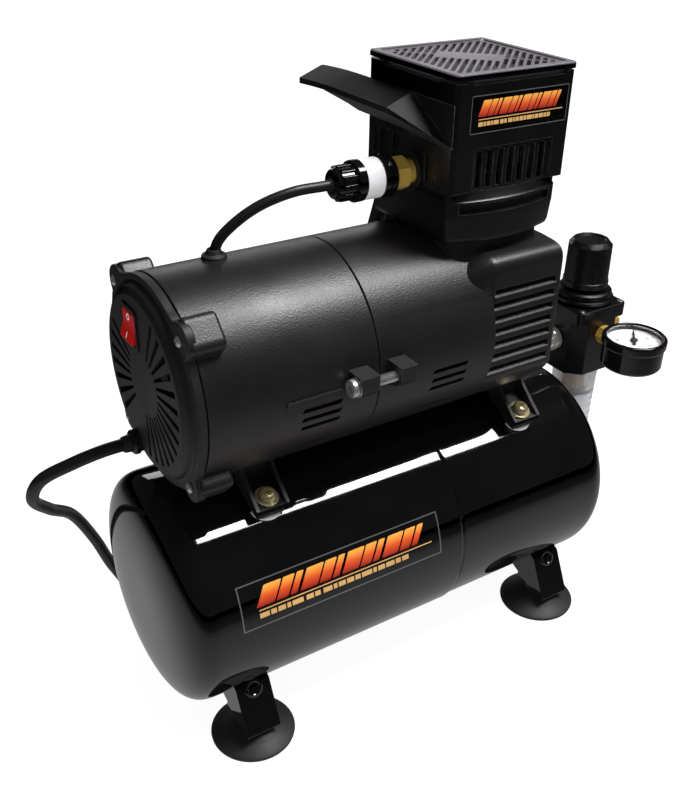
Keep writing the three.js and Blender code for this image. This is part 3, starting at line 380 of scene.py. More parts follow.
def material(name, color, rough, metal=0.0, coat=0.0, grain=(1800, 0.15), mottle=0.15, smudge=0.06, worn=None,
             glow=0.0, clear=0.0, scatter=0.0):
    """A procedural finish: mottled colour, smudged roughness, fine grain and, where asked, worn edges and a
    painted glow.
    """
    mat = bpy.data.materials.new(name)
    mat.use_nodes = True
    tree = mat.node_tree
    place_of = add_node(tree, "TexCoord").outputs["Object"]

    def noise(scale, detail=3.0):
        seen = {"Scale": scale, "Detail": detail, "Vector": place_of}
        return add_node(tree, "TexNoise", seen).outputs["Fac"]

    def remap(value, low, high, start=0.3, end=0.7):
        ends = {"Value": value, "From Min": start, "From Max": end, "To Min": low, "To Max": high}
        return add_node(tree, "MapRange", ends).outputs["Result"]

    def mix(factor, first, second):
        ends = {"Factor": factor, "A": first, "B": second}
        return add_node(tree, "Mix", ends, data_type="RGBA").outputs["Result"]

    deep, pale = [(*[min(1, c * (1 + change)) for c in color], 1) for change in (-mottle, mottle)]
    tint = mix(remap(noise(45), 0, 1), deep, pale)
    if worn:
        probe = add_node(tree, "Bevel", {"Radius": EDGE_WEAR}, samples=4).outputs["Normal"]
        flat = add_node(tree, "NewGeometry").outputs["Normal"]
        turn = add_node(tree, "VectorMath", {0: probe, 1: flat}, operation="DOT_PRODUCT").outputs["Value"]
        edge, patches = remap(turn, 0, 1, 0.995, 0.90), remap(noise(700), 0.15, 1, 0.4, 0.6)
        chip = add_node(tree, "Math", {0: edge, 1: patches}, operation="MULTIPLY").outputs["Value"]
        tint = mix(chip, tint, (*worn, 1))
    bump = add_node(tree, "Bump", {"Strength": grain[1], "Distance": GRAIN_DEPTH,
                                   "Height": noise(grain[0], 2.0)})
    finish = {
        "Base Color": tint,
        "Roughness": remap(noise(28, 5.0), max(0.02, rough - smudge), min(1, rough + smudge)),
        "Metallic": metal, "Coat Weight": coat, "Coat Roughness": 0.04,
        "Transmission Weight": clear, "IOR": 1.49,
        "Subsurface Weight": scatter, "Subsurface Scale": 0.002,
        "Normal": bump.outputs["Normal"],
    }
    # A glow is emission from a part that is no lamp: painted light in the part's own colour.
    if glow:
        finish.update({"Emission Color": (*color, 1), "Emission Strength": glow})
    feed(tree.nodes["Principled BSDF"], finish)
    if clear:
        let_light_through(tree)
    return mat


EDGE_WEAR, GRAIN_DEPTH = 0.0007, 0.0001
ENAMEL = material("gloss_black_enamel", (0.0035, 0.0035, 0.004), 0.05, coat=0.6, grain=(260, 0.10),
                  smudge=0.02, worn=(0.012, 0.012, 0.013))
SATIN = material("satin_black_texture", (0.0095, 0.0086, 0.0098), 0.38, grain=(1250, 1.0), smudge=0.05,
                 worn=(0.045, 0.043, 0.045))
CAP_BLACK = material("matte_charcoal_plastic", (0.0085, 0.0085, 0.0085), 0.52, grain=(2400, 0.4), smudge=0.06)
PLASTIC = material("moulded_black_plastic", (0.0048, 0.0046, 0.005), 0.31, grain=(1900, 0.22), smudge=0.06,
                   worn=(0.06, 0.058, 0.06))
GRILLE = material("grille_gunmetal", (0.17, 0.155, 0.175), 0.45, metal=0.25, grain=(2200, 0.3), smudge=0.08)
SCREEN = material("grille_screen_mesh", (0.05, 0.046, 0.052), 0.6, metal=0.2, grain=(1100, 1.0), mottle=0.5)
DARK = material("deep_black_plastic", (0.004, 0.004, 0.004), 0.6, grain=(1500, 0.3))
HANDLE_BLACK = material("handle_black", (0.0042, 0.004, 0.0044), 0.50, grain=(1900, 0.25), smudge=0.06,
                        worn=(0.07, 0.068, 0.07))
KNOB_BLACK = material("regulator_black", (0.0032, 0.0031, 0.0035), 0.30, grain=(2600, 0.3), smudge=0.07)
GLOSS = material("gloss_black_plastic", (0.004, 0.004, 0.0045), 0.10, coat=0.3, grain=(700, 0.05),
                 smudge=0.04)
RUBBER = material("suction_rubber", (0.011, 0.011, 0.011), 0.55, grain=(1500, 0.5), smudge=0.1, mottle=0.3)
CABLE = material("cable_jacket", (0.008, 0.008, 0.008), 0.38, grain=(1300, 0.3), smudge=0.08)
BRAID = material("hose_rubber", (0.01, 0.01, 0.01), 0.5, grain=(900, 0.6), smudge=0.1)
# The red rocker takes a faint emission, a painted glow that brightens its red; the switch itself gives no
# light.
RED = material("rocker_red", (0.42, 0.004, 0.004), 0.24, coat=0.15, grain=(500, 0.08), scatter=0.15,
               glow=0.05)
WHITE = material("white_print", (0.78, 0.78, 0.8), 0.42, grain=(1200, 0.2), mottle=0.04)
NYLON = material("white_nylon", (0.62, 0.62, 0.62), 0.45, grain=(900, 0.3), mottle=0.08)
STEEL = material("bright_steel", (0.62, 0.62, 0.63), 0.26, metal=0.85, grain=(1200, 0.3), smudge=0.1)
DULL_STEEL = material("turned_steel", (0.36, 0.36, 0.37), 0.4, metal=1, grain=(1500, 0.5), smudge=0.12)
NICKEL = material("nickel_plate", (0.86, 0.84, 0.80), 0.22, metal=0.82, grain=(900, 0.25), smudge=0.1)
ZINC = material("yellow_zinc", (0.70, 0.60, 0.34), 0.26, metal=0.8, grain=(1100, 0.35), mottle=0.35,
                smudge=0.1)
BRASS = material("machined_brass", (0.86, 0.56, 0.12), 0.36, metal=0.5, grain=(1400, 0.35), mottle=0.2,
                 smudge=0.1)
ALLOY = material("cast_aluminium", (0.5, 0.5, 0.51), 0.42, metal=1, grain=(1300, 0.7), smudge=0.1)
COPPER = material("motor_core", (0.30, 0.13, 0.06), 0.42, metal=0.8, grain=(3000, 0.8), mottle=0.4)
SINTER = material("sintered_filter", (0.62, 0.40, 0.20), 0.6, metal=0.2, grain=(2600, 1.0), mottle=0.3)
CLEAR = material("clear_plastic", (0.86, 0.86, 0.88), 0.16, clear=0.82, grain=(300, 0.12), mottle=0.03,
                 smudge=0.06)
GLASS = material("gauge_window", (0.98, 0.98, 0.98), 0.03, clear=1, grain=(120, 0.02), mottle=0.01,
                 smudge=0.01)
BAFFLE = material("grey_baffle", (0.16, 0.16, 0.165), 0.5, grain=(1200, 0.3))
DIAL = material("dial_paper", (0.60, 0.57, 0.60), 0.5, grain=(1500, 0.1), mottle=0.03)
INK = material("dial_ink", (0.015, 0.015, 0.018), 0.5, grain=(1500, 0.1))
RED_INK = material("dial_red_ink", (0.45, 0.02, 0.02), 0.5, grain=(1500, 0.1))
FOIL = material("label_black_foil", (0.004, 0.004, 0.004), 0.08, coat=0.5, grain=(400, 0.05), smudge=0.04)
RIM = material("label_silver_line", (0.20, 0.20, 0.21), 0.3, metal=0.6, grain=(900, 0.2))
CREAM = material("label_cream_line", (0.62, 0.36, 0.12), 0.35, grain=(900, 0.2))

SLOT_OF = {finish.name: slot for slot, finishes in (
    ("gloss_black_paint", (ENAMEL,)), ("satin_black_paint", (SATIN,)),
    ("black_plastic", (CAP_BLACK, PLASTIC, GRILLE, SCREEN, DARK, HANDLE_BLACK, KNOB_BLACK, GLOSS, FOIL)),
    ("black_rubber", (RUBBER, CABLE, BRAID)), ("red_plastic", (RED,)), ("steel", (STEEL, DULL_STEEL)),
    ("nickel", (NICKEL,)), ("yellow_zinc", (ZINC,)), ("brass", (BRASS,)), ("sintered_bronze", (SINTER,)),
    ("clear_plastic", (CLEAR, GLASS)),
) for finish in finishes}


def flame_print(name, low, high):
    """Printed ink that runs from deep red at the bottom to amber at the top."""
    mat = material(name, (0.6, 0.1, 0.02), 0.3, grain=(1200, 0.1))
    tree = mat.node_tree
    place_of = add_node(tree, "TexCoord").outputs["Object"]
    height = add_node(tree, "SeparateXYZ", {"Vector": place_of}).outputs["Z"]
    ends = {"Value": height, "From Min": low * MM, "From Max": high * MM}
    colours = add_node(tree, "ValToRGB", {"Fac": add_node(tree, "MapRange", ends).outputs["Result"]})
    stops = colours.color_ramp.elements
    stops[0].color = (0.30, 0.008, 0.004, 1)
    stops[1].color = (0.90, 0.42, 0.06, 1)
    stops.new(0.5).color = (0.72, 0.085, 0.012, 1)
    tree.links.new(colours.outputs["Color"], tree.nodes["Principled BSDF"].inputs["Base Color"])
    return mat


def place(obj, name, finish, *stands_for, body=ROOT, slot=None, angle=38):
    """Names a finished shape, moves it into the CAD frame, shades it and lets it ride on its body."""
    moved(obj, TO_FRAME)
    bm = bmesh.new()
    bm.from_mesh(obj.data)
    bmesh.ops.remove_doubles(bm, verts=bm.verts, dist=1e-7)
    for face in bm.faces:
        face.smooth = True
    limit = math.radians(angle)
    for edge in bm.edges:
        edge.smooth = len(edge.link_faces) == 2 and edge.calc_face_angle(math.pi) < limit
    bm.to_mesh(obj.data)
    bm.free()
    even = obj.modifiers.new("normals", "WEIGHTED_NORMAL")
    even.keep_sharp = True
    bake(obj)
    obj.name = obj.data.name = name
    obj.data.materials.clear()
    obj.data.materials.append(finish)
    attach(obj, body)
    slot = slot or SLOT_OF.get(finish.name)
    if stands_for:
        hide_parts(*stands_for)
    return obj


def repaint(node, finish):
    """A CAD node whose shape is right keeps it and takes a procedural finish."""
    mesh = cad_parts[node].data
    mesh.materials.clear()
    mesh.materials.append(finish)


# ---------------------------------------------------------------- tank, brackets and feet
def dome(radius, side, steps=28):
    power = 2 / 3.4
    points = []
    for i in range(steps + 1):
        a = i / steps * math.pi / 2
        x = TANK_STRAIGHT + TANK_DOME * math.sin(a) ** power
        points.append((0 if i == steps else radius * math.cos(a) ** power, side * x))
    return points


def build_tank():
    right = TANK_R - TANK_STEP
    seam = [(TANK_R, TANK_SEAM - 2.2), (TANK_R + 0.05, TANK_SEAM - 1.2), (TANK_R - 0.05, TANK_SEAM - 0.4),
            (TANK_R - 0.5, TANK_SEAM), (right - 0.55, TANK_SEAM + 0.35), (right - 0.45, TANK_SEAM + 0.9),
            (right - 0.05, TANK_SEAM + 1.6), (right, TANK_SEAM + 2.6)]
    skin = lathe([*reversed(dome(TANK_R, -1)), *seam, *dome(right, 1)], "x", (0, 0, TANK_Z), 192)
    place(skin, "tank", ENAMEL, "tank_shell", angle=50)
    for side, rank, name in CORNERS:
        place(foot_bracket(side, rank), f"foot_bracket_{name}", ENAMEL)


def foot_bracket(side, rank):
    x, w, t = side * (FOOT_X + 0.5), 9.3, 1.5
    web = fillet([(-43.5, 36.8), (-48.4, 34.6, 1.5), (-56.6, 18.0, 6), (-60.0, 11.4, 0.8), (-58.8, 9.9, 0.8),
                  (-54.8, 17.6, 4), (-46.6, 32.0, 1), (-43.5, 34)], 0, steps=5)
    flange = [(-45.5, 35.6), (-48.0, 33.6), (-56.0, 17.4), (-58.9, 11.2), (-55.5, 10.6), (-27, 21.5),
              (-27, 25)]
    shelf = [(-55.5, SHELF_Z), (-37, SHELF_Z), (-37, SHELF_Z + SHELF), (-54.8, SHELF_Z + SHELF)]
    body = prism(web, "x", x - w, x + w)
    fuse(body, prism(flange, "x", x - w + 0.02, x - w + t), prism(flange, "x", x + w - t, x + w - 0.02),
         prism(shelf, "x", x - w + 0.1, x + w - 0.1))
    hole = rod((side * FOOT_X, -FOOT_Y, SHELF_Z - 1), (side * FOOT_X, -FOOT_Y, SHELF_Z + SHELF + 1), 3.1)
    carve(body, hole)
    soften(body, 0.35, 2, 50)
    out = Vector((0, -0.895, 0.446))
    nose = turned([(0, -2), (5.0, -2), (5.0, 0.5, 0.5), (3.6, 0.95, 0.6), (3.0, 0.5, 0.4), (0, 0.35)],
                  seg=72, steps=5)
    moved(nose, Matrix.Translation((x, -49.3, 32.6)) @ facing(out))
    fuse(body, nose)
    return body if rank < 0 else moved(body, MIRROR)


def build_feet():
    top = SHELF_Z + SHELF
    cup = fillet([(0, 5), (12, 3.4), (FOOT_RIM - 1.6, 0), (FOOT_RIM - 0.3, 0, 0.3), (FOOT_RIM, 1.5, 0.7),
                  (20.2, 2.5, 2), (15.5, 5.2, 6), (9.6, 9.2, 3), (7.6, 10.4, 2), (7.0, 12.4, 2),
                  (7.0, SHELF_Z - 0.3, 0.4), (2.7, SHELF_Z - 0.3), (2.7, top + 0.3), (4.6, top + 0.3, 0.4),
                  (2.6, top + 4.5, 1), (0, top + 4.5)], 0, False, 5)
    for side, rank, name in CORNERS:
        foot = lathe(cup, "z", (side * FOOT_X, rank * FOOT_Y, 0), 128)
        place(foot, f"suction_cup_{name}", RUBBER, f"suction_foot_{name}")


def mount_frame(side, rank):
    """The tilted frame of a motor mount: z is up off the tank, y runs outwards down the tray."""
    up = Vector((0, rank * math.sin(MOUNT_TILT), math.cos(MOUNT_TILT)))
    out = Vector((0, rank * math.cos(MOUNT_TILT), -math.sin(MOUNT_TILT)))
    turn = Matrix((Vector((1, 0, 0)), out, up)).transposed().to_4x4()
    return Matrix.Translation((side * MOUNT_X, rank * MOUNT_Y, MOUNT_Z)) @ turn


def cross_recess(depth, top, size):
    """The cutter for a cross-head recess."""
    bars = []
    for turn in (0, 90):
        rings = []
        for w, z in ((size * 0.5, top - depth), (size, top + 0.2)):
            rings.append([(x, y, z) for x, y in rect(-w, -0.32 * size, w, 0.32 * size)])
        bar = loft(rings)
        bars.append(moved(bar, spun(turn, "Z")))
    return fuse(*bars)


def build_mounts():
    for side, rank, name in CORNERS:
        base = mount_frame(side, rank)
        pad = prism(rect(-7.5, -5.2, 7.5, 6.8, 1.2), "z", -TRAY - 0.15 - PAD, -TRAY - 0.15)
        soften(pad, 0.5, 2)
        clear = rod((-200, 0, TANK_Z), (200, 0, TANK_Z), TANK_R + 0.1, seg=192)
        pad = carve(moved(pad, base), clear)
        place(pad, f"pad_{name}", RUBBER, f"vibration_pad_{name}")
        disc = lathe(fillet([(0, -7.3), (8.4, -7.3), (8.4, -6.2), (0, -6.2)], 0.35, False), seg=72)
        clear = rod((-200, 0, TANK_Z), (200, 0, TANK_Z), TANK_R + 0.1, seg=192)
        disc = carve(moved(disc, base), clear)
        place(disc, f"spacer_{name}", NYLON)

        head = turned([(0, 2.2), (4.1, 2.2, 0.3), (4.2, 3.1, 0.8), (3.4, 4.3, 1.4), (2.0, 4.8, 1),
                       (0, 4.95)], seg=72)
        carve(head, cross_recess(2.0, 4.95, 2.5))
        shank = rod((0, 0, -TRAY - PAD - 3), (0, 0, 2.4), 2, seg=32)
        fuse(head, shank)
        place(moved(head, base), f"screw_{name}", ZINC, f"pad_screw_{name}")
        flat = turned([(2.3, 0.3), (5.9, 0.3), (5.9, 1.1), (2.3, 1.1)], seg=72, edge=0.2)
        place(moved(flat, base), f"washer_{name}", ZINC)
        spring = turned([(2.3, 1.25), (4.1, 1.25), (4.1, 2.1), (2.3, 2.1)], seg=72, edge=0.2)
        carve(spring, box((2, 5), (-0.35, 0.35), (1, 3)))
        place(moved(spring, base), f"spring_washer_{name}", STEEL, slot="yellow_zinc")


# ---------------------------------------------------------------- motor shells
def leg(side):
    """The cast leg of one shell: two sloping trays with thin side webs, and the saddle under the motor."""
    x, w, t = side * MOUNT_X, 8.7, 1.7
    body = prism(rect(x - w, -20, x + w, 20, 1), "z", 137, 146)
    for rank in (-1, 1):
        base = mount_frame(side, rank)

        def at(height, along):
            point = base @ Vector((0, along, height))
            return point.y, point.z

        tray = [at(-TRAY, 7.2), at(0, 7.2), at(0, -12.5), at(-TRAY, -12.5)]
        web = [at(-TRAY, 7.2), at(1.4, 7.2), (rank * 25, 141.6), (rank * 22, 146), (rank * 14, 146),
               (rank * 14, 141.5), at(-TRAY, -12.5)]
        wall = [(rank * 19.4, 133), (rank * 17.4, 133), (rank * 14, 143), (rank * 18, 146)]
        lip = [at(-TRAY - 0.1, 7.2), at(0.9, 7.2), at(0.9, 6.2), at(-TRAY - 0.1, 6.2)]
        fuse(body, prism(tray, "x", x - w, x + w), prism(web, "x", x - w, x - w + t),
             prism(web, "x", x + w - t, x + w), prism(wall, "x", x - w, x + w), prism(lip, "x", x - w, x + w))
        carve(body, moved(rod((0, 0, -4), (0, 0, 2), 2.5, seg=32), base))
    return body


def lug(low, high):
    ear = [(-44, LUG_TOP), (-LUG_OUT, LUG_TOP), (-LUG_OUT, 190.5), (-57, 187.5), (-44, 183)]
    return prism(ear, "x", low, high)


def tube(low, high, outer, inner, seg=192):
    edge = min(0.5, (outer - inner) / 3)
    return turned([(inner, low), (outer, low), (outer, high), (inner, high)], "x", (0, 0, MOTOR_Z), seg,
                  edge=edge, steps=3)


def slot_cutter(low, high, degrees, height, slant=1.6):
    """A vent slot with rounded, slightly slanted ends."""
    h = height / 2
    outline = fillet([(low, MOTOR_Z - h), (high - slant, MOTOR_Z - h), (high, MOTOR_Z + h),
                      (low + slant, MOTOR_Z + h)], height * 0.28, steps=4)
    return about_motor(prism(outline, "y", -60, -40), -degrees)


def vents(low, high):
    tools = [slot_cutter(low, high, a, 2.6) for a in (-6.5, -12.5, -18.5)]
    tools.append(slot_cutter(low, high - 3, -36, 2))
    return tools + [copy(t, MIRROR) for t in tools]


def both_sides(obj):
    return [obj, copy(obj, MIRROR)]


def build_left_shell():
    low, high = LEFT
    shell = tube(low, high, MOTOR_R, MOTOR_R - MOTOR_WALL)
    solids = [leg(-1), *both_sides(lug(-44.3, -34.8))]
    for turn in (45, 135, 225, 315):
        block = prism(rect(-8.6, MOTOR_Z + 40, 8.6, MOTOR_Z + 56.4, 4.2), "x", low - 3.4, low + 12.6)
        soften(block, 1.9, 4, 50)
        solids.append(about_motor(block, turn))
    rib = prism(fillet([(-76, MOTOR_Z - 1.5), (-47.5, MOTOR_Z - 1.5), (-47.5, MOTOR_Z + 1.5),
                        (-76, MOTOR_Z + 1.5)], 1.4, steps=6), "y", -MOTOR_R - 1.1, -44)
    solids += both_sides(about_motor(rib, 0.5))
    fuse(shell, *solids)
    bore = rod((low - 1, 0, MOTOR_Z), (high + 1, 0, MOTOR_Z), MOTOR_R - MOTOR_WALL, seg=192)
    holes = both_sides(rod((-50, -LUG_Y, LUG_Z), (-10, -LUG_Y, LUG_Z), 2.9))
    grommet = rod((-80, 8, 225), (-80, 8, 245), 3.8)
    carve(shell, bore, grommet, *holes, *vents(-68.4, -46.5))
    soften(shell, 0.45, 2, 40)
    place(shell, "motor_housing_left", SATIN, "motor_shell_left")


def case_section(half, top, r=8.0, round_r=MOTOR_R):
    """The crankcase in section: flat sides and top over the motor's round belly."""
    drop = math.sqrt(max(1.0, round_r ** 2 - half ** 2))
    start = math.atan2(drop, half)
    belly = []
    for i in range(25):
        a = math.pi + start + (math.pi - 2 * start) * i / 24
        belly.append((round_r * math.cos(a), MOTOR_Z + round_r * math.sin(a)))
    return belly + fillet([(half, MOTOR_Z - drop + 1), (half, top - 1.2, r), (half - 16, top, 10),
                           (-half + 16, top, 10), (-half, top - 1.2, r), (-half, MOTOR_Z - drop + 1)], 0,
                           False, 6)


def build_right_shell():
    low, high = RIGHT
    shell = tube(low, 39.6, MOTOR_R, MOTOR_R - MOTOR_WALL)
    case = loft([[(x, y, z) for y, z in case_section(half, top, 8, belly)] for x, half, top, belly in (
        (12, 31.4, 215.4, 46), (20, 34.4, 219.6, 46.6), (28, 38.0, 224.0, 47.4), (35, 41.8, 228.6, 48.4),
        (39.5, 43.6, 230.7, 48.9), (42, 44.2, 231.2, 49.2), (high, 44.2, 231.2, 49.2))])

    def neck_ring(z, grow):
        plan = rect(HEAD_X - 29 - grow, -31 - grow, HEAD_X + 29 + grow, 31 + grow, 13, 8)
        return [(x, y, z) for x, y in plan]

    neck = loft([neck_ring(205, 1), neck_ring(224, 1), neck_ring(229, 0.6), neck_ring(232.5, 0),
                 neck_ring(NECK_TOP, 0)])
    combine("INTERSECT", neck, box((HEAD_X - 44, high), (-46, 46), (200, 245)))
    fuse(shell, case, neck, leg(1), *both_sides(lug(-23.4, -14.4)))
    bore = rod((low - 1, 0, MOTOR_Z), (40, 0, MOTOR_Z), MOTOR_R - MOTOR_WALL, seg=192)
    chamber = rod((39, 0, MOTOR_Z), (high + 1, 0, MOTOR_Z), MOTOR_R - MOTOR_WALL, seg=192)
    combine("INTERSECT", chamber, box((38, high + 2), (-41.6, 41.6), (130, 250)))
    well = rod((HEAD_X, 0, 200), (HEAD_X, 0, 245), 23, seg=96)
    holes = both_sides(rod((-50, -LUG_Y, LUG_Z), (-10, -LUG_Y, LUG_Z), 2.9))
    carve(shell, bore, chamber, well, *holes, *vents(2.2, 24.4))
    # Seven cooling louvres are cut through each flat side, with a thin lip above every slot.
    cutters, slats = [], []
    for i in range(7):
        z = LOUVRE_TOP - i * LOUVRE_STEP
        cutters += both_sides(prism(rect(41.0, z - 2.6, 79.6, z + 1.6, 0.5), "y", -50, -38))
        blade = prism(fillet([(-44.7, z - 2.5), (-44.7, z - 2.0), (-40, z + 0.4), (-40, z - 0.8)], 0.2), "x",
                      40.6, 80)
        slats += both_sides(blade)
    carve(shell, *cutters)
    soften(shell, 0.45, 2, 40)
    place(shell, "motor_housing_right", SATIN, "motor_shell_right")
    place(merge(slats), "louvre_slats", SATIN)


def build_shell_fittings():
    for rank, name in ((-1, "front"), (1, "rear")):
        y = rank * LUG_Y
        head = rod((-47.8, y, LUG_Z), (-44.7, y, LUG_Z), 4.2, edge=0.9)
        washer = rod((-44.6, y, LUG_Z), (-44.35, y, LUG_Z), 4.7)
        socket = rod((-48.5, y, LUG_Z), (-46, y, LUG_Z), 2.2, seg=6)
        carve(head, socket)
        profile = [(0, -45), (2.5, -45)]
        for i in range(14):
            x = -33.6 + i * THREAD
            profile += [(2.5, x), (2.15, x + THREAD / 2)]
        profile += [(2.5, -23), (2.5, -14.7), (0, -14.7)]
        bolt = lathe(profile, "x", (0, y, LUG_Z), 48)
        fuse(head, washer, bolt)
        place(head, f"clamp_bolt_{name}", STEEL, f"clamp_screw_{name}")
    low, high = span("front_cover")[0].x, span("front_cover")[1].x - COVER_INSET
    cover = prism(case_section(42.8, 230, 8, 49), "x", 82.3, high)
    soften(cover, 1.5, 4, 50)
    panel = prism(case_section(36, 223.5, 6, 42), "x", high - 1, high + 1)
    spigot = rod((low, 0, MOTOR_Z), (83, 0, MOTOR_Z), 41.2, seg=128)
    hollow = rod((low - 1, 0, MOTOR_Z), (low + 4, 0, MOTOR_Z), 38, seg=128)
    carve(spigot, hollow)
    fuse(cover, spigot)
    carve(cover, panel)
    place(cover, "pump_cover", SATIN, "front_cover")


# ---------------------------------------------------------------- end cap, switch and cord
def cap_radius(degree):
    """The end cap's outline: a circle with a rounded lobe over each of its four screws."""
    off = abs((degree % 90) - 45)
    lobe = 0.0
    across = LOBE_SEAT * math.sin(math.radians(off))
    if off < LOBE_SPREAD and across < LOBE_R:
        reach = LOBE_SEAT * math.cos(math.radians(off)) + math.sqrt(LOBE_R ** 2 - across ** 2)
        lobe = max(0.0, reach - CAP_R)
    blend = 1.2 * math.exp(-((off - 10.5) / 5.0) ** 2)
    return CAP_R + max(lobe, blend if off > 8.5 else lobe)


def build_end_cap():
    outline = []
    for degree in range(360):
        a, r = math.radians(degree), cap_radius(degree)
        outline.append((r * math.sin(a), MOTOR_Z + r * math.cos(a)))
    body = prism(outline, "x", CAP_FLANGE, CAP_SEAM)
    soften(body, 0.9, 3, 50)
    disc = turned([(0, CAP_FLANGE + 2), (CAP_DISC + 1.8, CAP_FLANGE + 2), (CAP_DISC + 1.8, CAP_FLANGE - 0.1),
                   (CAP_DISC + 0.4, CAP_FLANGE - 0.5, 0.8), (CAP_DISC - 0.6, CAP_FACE + 1.6, 2.4),
                   (CAP_DISC - 3.6, CAP_FACE, 2.4), (0, CAP_FACE)], "x", (0, 0, MOTOR_Z), 192, steps=8)
    fuse(body, disc)
    hollow = rod((CAP_FACE + 2.4, 0, MOTOR_Z), (CAP_SEAM + 1, 0, MOTOR_Z), 41.5, seg=128)
    carve(body, hollow)
    tools = []
    for degree in range(0, 360, 12):
        if degree > 300 or degree < 24 or 190 < degree < 222:
            continue
        wedge = fillet([(-0.7, MOTOR_Z + 15.5), (0.7, MOTOR_Z + 15.5), (1.55, MOTOR_Z + 38),
                        (-1.55, MOTOR_Z + 38)], 0.5)
        tools.append(about_motor(prism(wedge, "x", CAP_FACE - 1, CAP_FACE + 4), degree))
    opening = box((CAP_FACE - 1, CAP_FACE + 4), (ROCKER_Y - 6.9, ROCKER_Y + 6.9),
                  (ROCKER_Z - 10.3, ROCKER_Z + 10.3))
    gland = rod((CAP_FACE - 1, GLAND_Y, GLAND_Z), (CAP_SEAM + 1, GLAND_Y, GLAND_Z), 5.6)
    carve(body, opening, gland, *tools)
    soften(body, 0.3, 2, 50)
    place(body, "motor_end_cap", CAP_BLACK, "end_cap")
    for turn in (45, 135, 225, 315):
        head = turned([(0, 0), (2.5, 0, 0.2), (2.5, -0.9, 0.6), (1.4, -1.5, 0.6), (0, -1.6)], seg=48)
        recess = moved(cross_recess(0.9, 1.6, 1.4), Matrix.Rotation(math.pi, 4, "X"))
        carve(head, recess)
        head = moved(head, Matrix.Translation((CAP_FLANGE - 0.05, 0, MOTOR_Z + CAP_BOLT)) @ TURN_X)
        place(about_motor(head, turn), f"cap_screw_{turn}", STEEL)


def build_rocker():
    y, z = ROCKER_Y, ROCKER_Z
    bezel = prism(rect(y - 8.6, z - 10.0, y + 8.6, z + 10.0, 2.4), "x", CAP_FACE - 0.9, CAP_FACE - 0.3)
    body = prism(rect(y - 8.0, z - 9.4, y + 8.0, z + 9.4, 0.6), "x", CAP_FACE - 0.6, -108)
    fuse(bezel, body)
    carve(bezel, prism(rect(y - 7.3, z - 7.7, y + 7.3, z + 7.7, 1.0), "x", CAP_FACE - 3, -114))
    soften(bezel, 0.35, 2)
    place(bezel, "rocker_bezel", CAP_BLACK, "switch_frame")
    side = fillet([(-116, z - 5), (-116, z + 5), (-121.0, z + 7.0, 0.6), (-122.9, z + 7.0, 0.7),
                   (-121.9, z, 12), (-122.9, z - 7.0, 0.7), (-121.0, z - 7.0, 0.6)], 0, steps=8)
    turn = spun(9, "Y", (-118, 0, z))
    rocker = prism(side, "y", y - 6.9, y + 6.9)
    soften(rocker, 0.45, 3, 50)
    place(moved(rocker, turn), "rocker_button", RED, "rocker_switch", body="rocker")
    ring = turned([(1.0, 0), (1.5, 0), (1.5, 0.12), (1.0, 0.12)], seg=40)
    ring = moved(ring, Matrix.Translation((-122.6, y, z + 4.2)) @ spun(83, "Y"))
    bar = box((-122.68, -122.46), (y - 0.25, y + 0.25), (z - 5.6, z - 2.8))
    bar = moved(bar, spun(7, "Y", (-122.55, 0, z - 4.2)))
    place(moved(ring, turn), "rocker_mark_off", WHITE, body="rocker")
    place(moved(bar, turn), "rocker_mark_on", WHITE, body="rocker")


def build_cord():
    y, z = GLAND_Y, GLAND_Z
    nut = turned([(3.45, -124.6), (5.0, -124.6, 0.6), (6.1, -123.6, 0.8), (6.1, CAP_FACE - 0.3, 0.3),
                  (5.3, CAP_FACE - 0.3), (5.3, -113), (3.45, -113)], "x", (0, y, z), 72)
    relief = turned([(3.3, -124.4), (4.4, -124.5, 0.4), (3.9, -128.4, 0.5), (3.3, -128.6)], "x", (0, y, z),
                    64)
    place(nut, "gland_nut", PLASTIC, "cord_gland")
    place(relief, "strain_relief", RUBBER)
    path = [(-110, y, z), (-121, y, z), (-137, y, z), (-152, y + 3, z - 4), (-166, y + 9, z - 12),
            (-169.7, y + 17, z - 26), (-160, y + 30, z - 44), (-146, y + 44, z - 62), (-134, y + 52, z - 88),
            (-124, y + 56, z - 116), (-112, y + 58, 12), (-96, y + 59, 4.5), (-74, y + 59, 4.5),
            (-60, y + 59, 6.5), (-50, y + 59, 10)]
    cord = sweep(path, 3.1, 220, 24)
    place(cord, "mains_cord", CABLE, "power_cord")
    plug_y = y + 59
    neck = []
    for i in range(6):
        x = -53 + i * 2.1
        r = 4.1 + i * 0.25
        neck += [(r, x), (r, x + 1.3), (r - 0.6, x + 1.5), (r - 0.6, x + 2.0)]
    relief = turned([(3.0, -53), *neck, (5.2, -40), (3.0, -40)], "x", (0, plug_y, 10), 48, edge=0.15)
    plug = prism(rect(plug_y - 12, 0.3, plug_y + 12, 20, 5, 8), "x", -41, -10.6)
    soften(plug, 1.6, 4, 50)
    grips = []
    for i in range(6):
        grips.append(box((-36 + i * 3.4, -34.8 + i * 3.4), (plug_y - 14, plug_y - 11.3), (4, 16)))
        grips.append(box((-36 + i * 3.4, -34.8 + i * 3.4), (plug_y + 11.3, plug_y + 14), (4, 16)))
    carve(plug, *grips)
    place(relief, "plug_relief", RUBBER)
    place(plug, "mains_plug", CABLE)
    for off, name in ((-7.2, "left"), (7.2, "right")):
        blade = prism(rect(plug_y + off - 0.8, 6.9, plug_y + off + 0.8, 13.3, 0.3), "x", -11.5, 6)
        carve(blade, rod((1.5, plug_y + off - 2, 10.1), (1.5, plug_y + off + 2, 10.1), 1.5, seg=32))
        soften(blade, 0.3, 2)
        place(blade, f"plug_blade_{name}", BRASS)


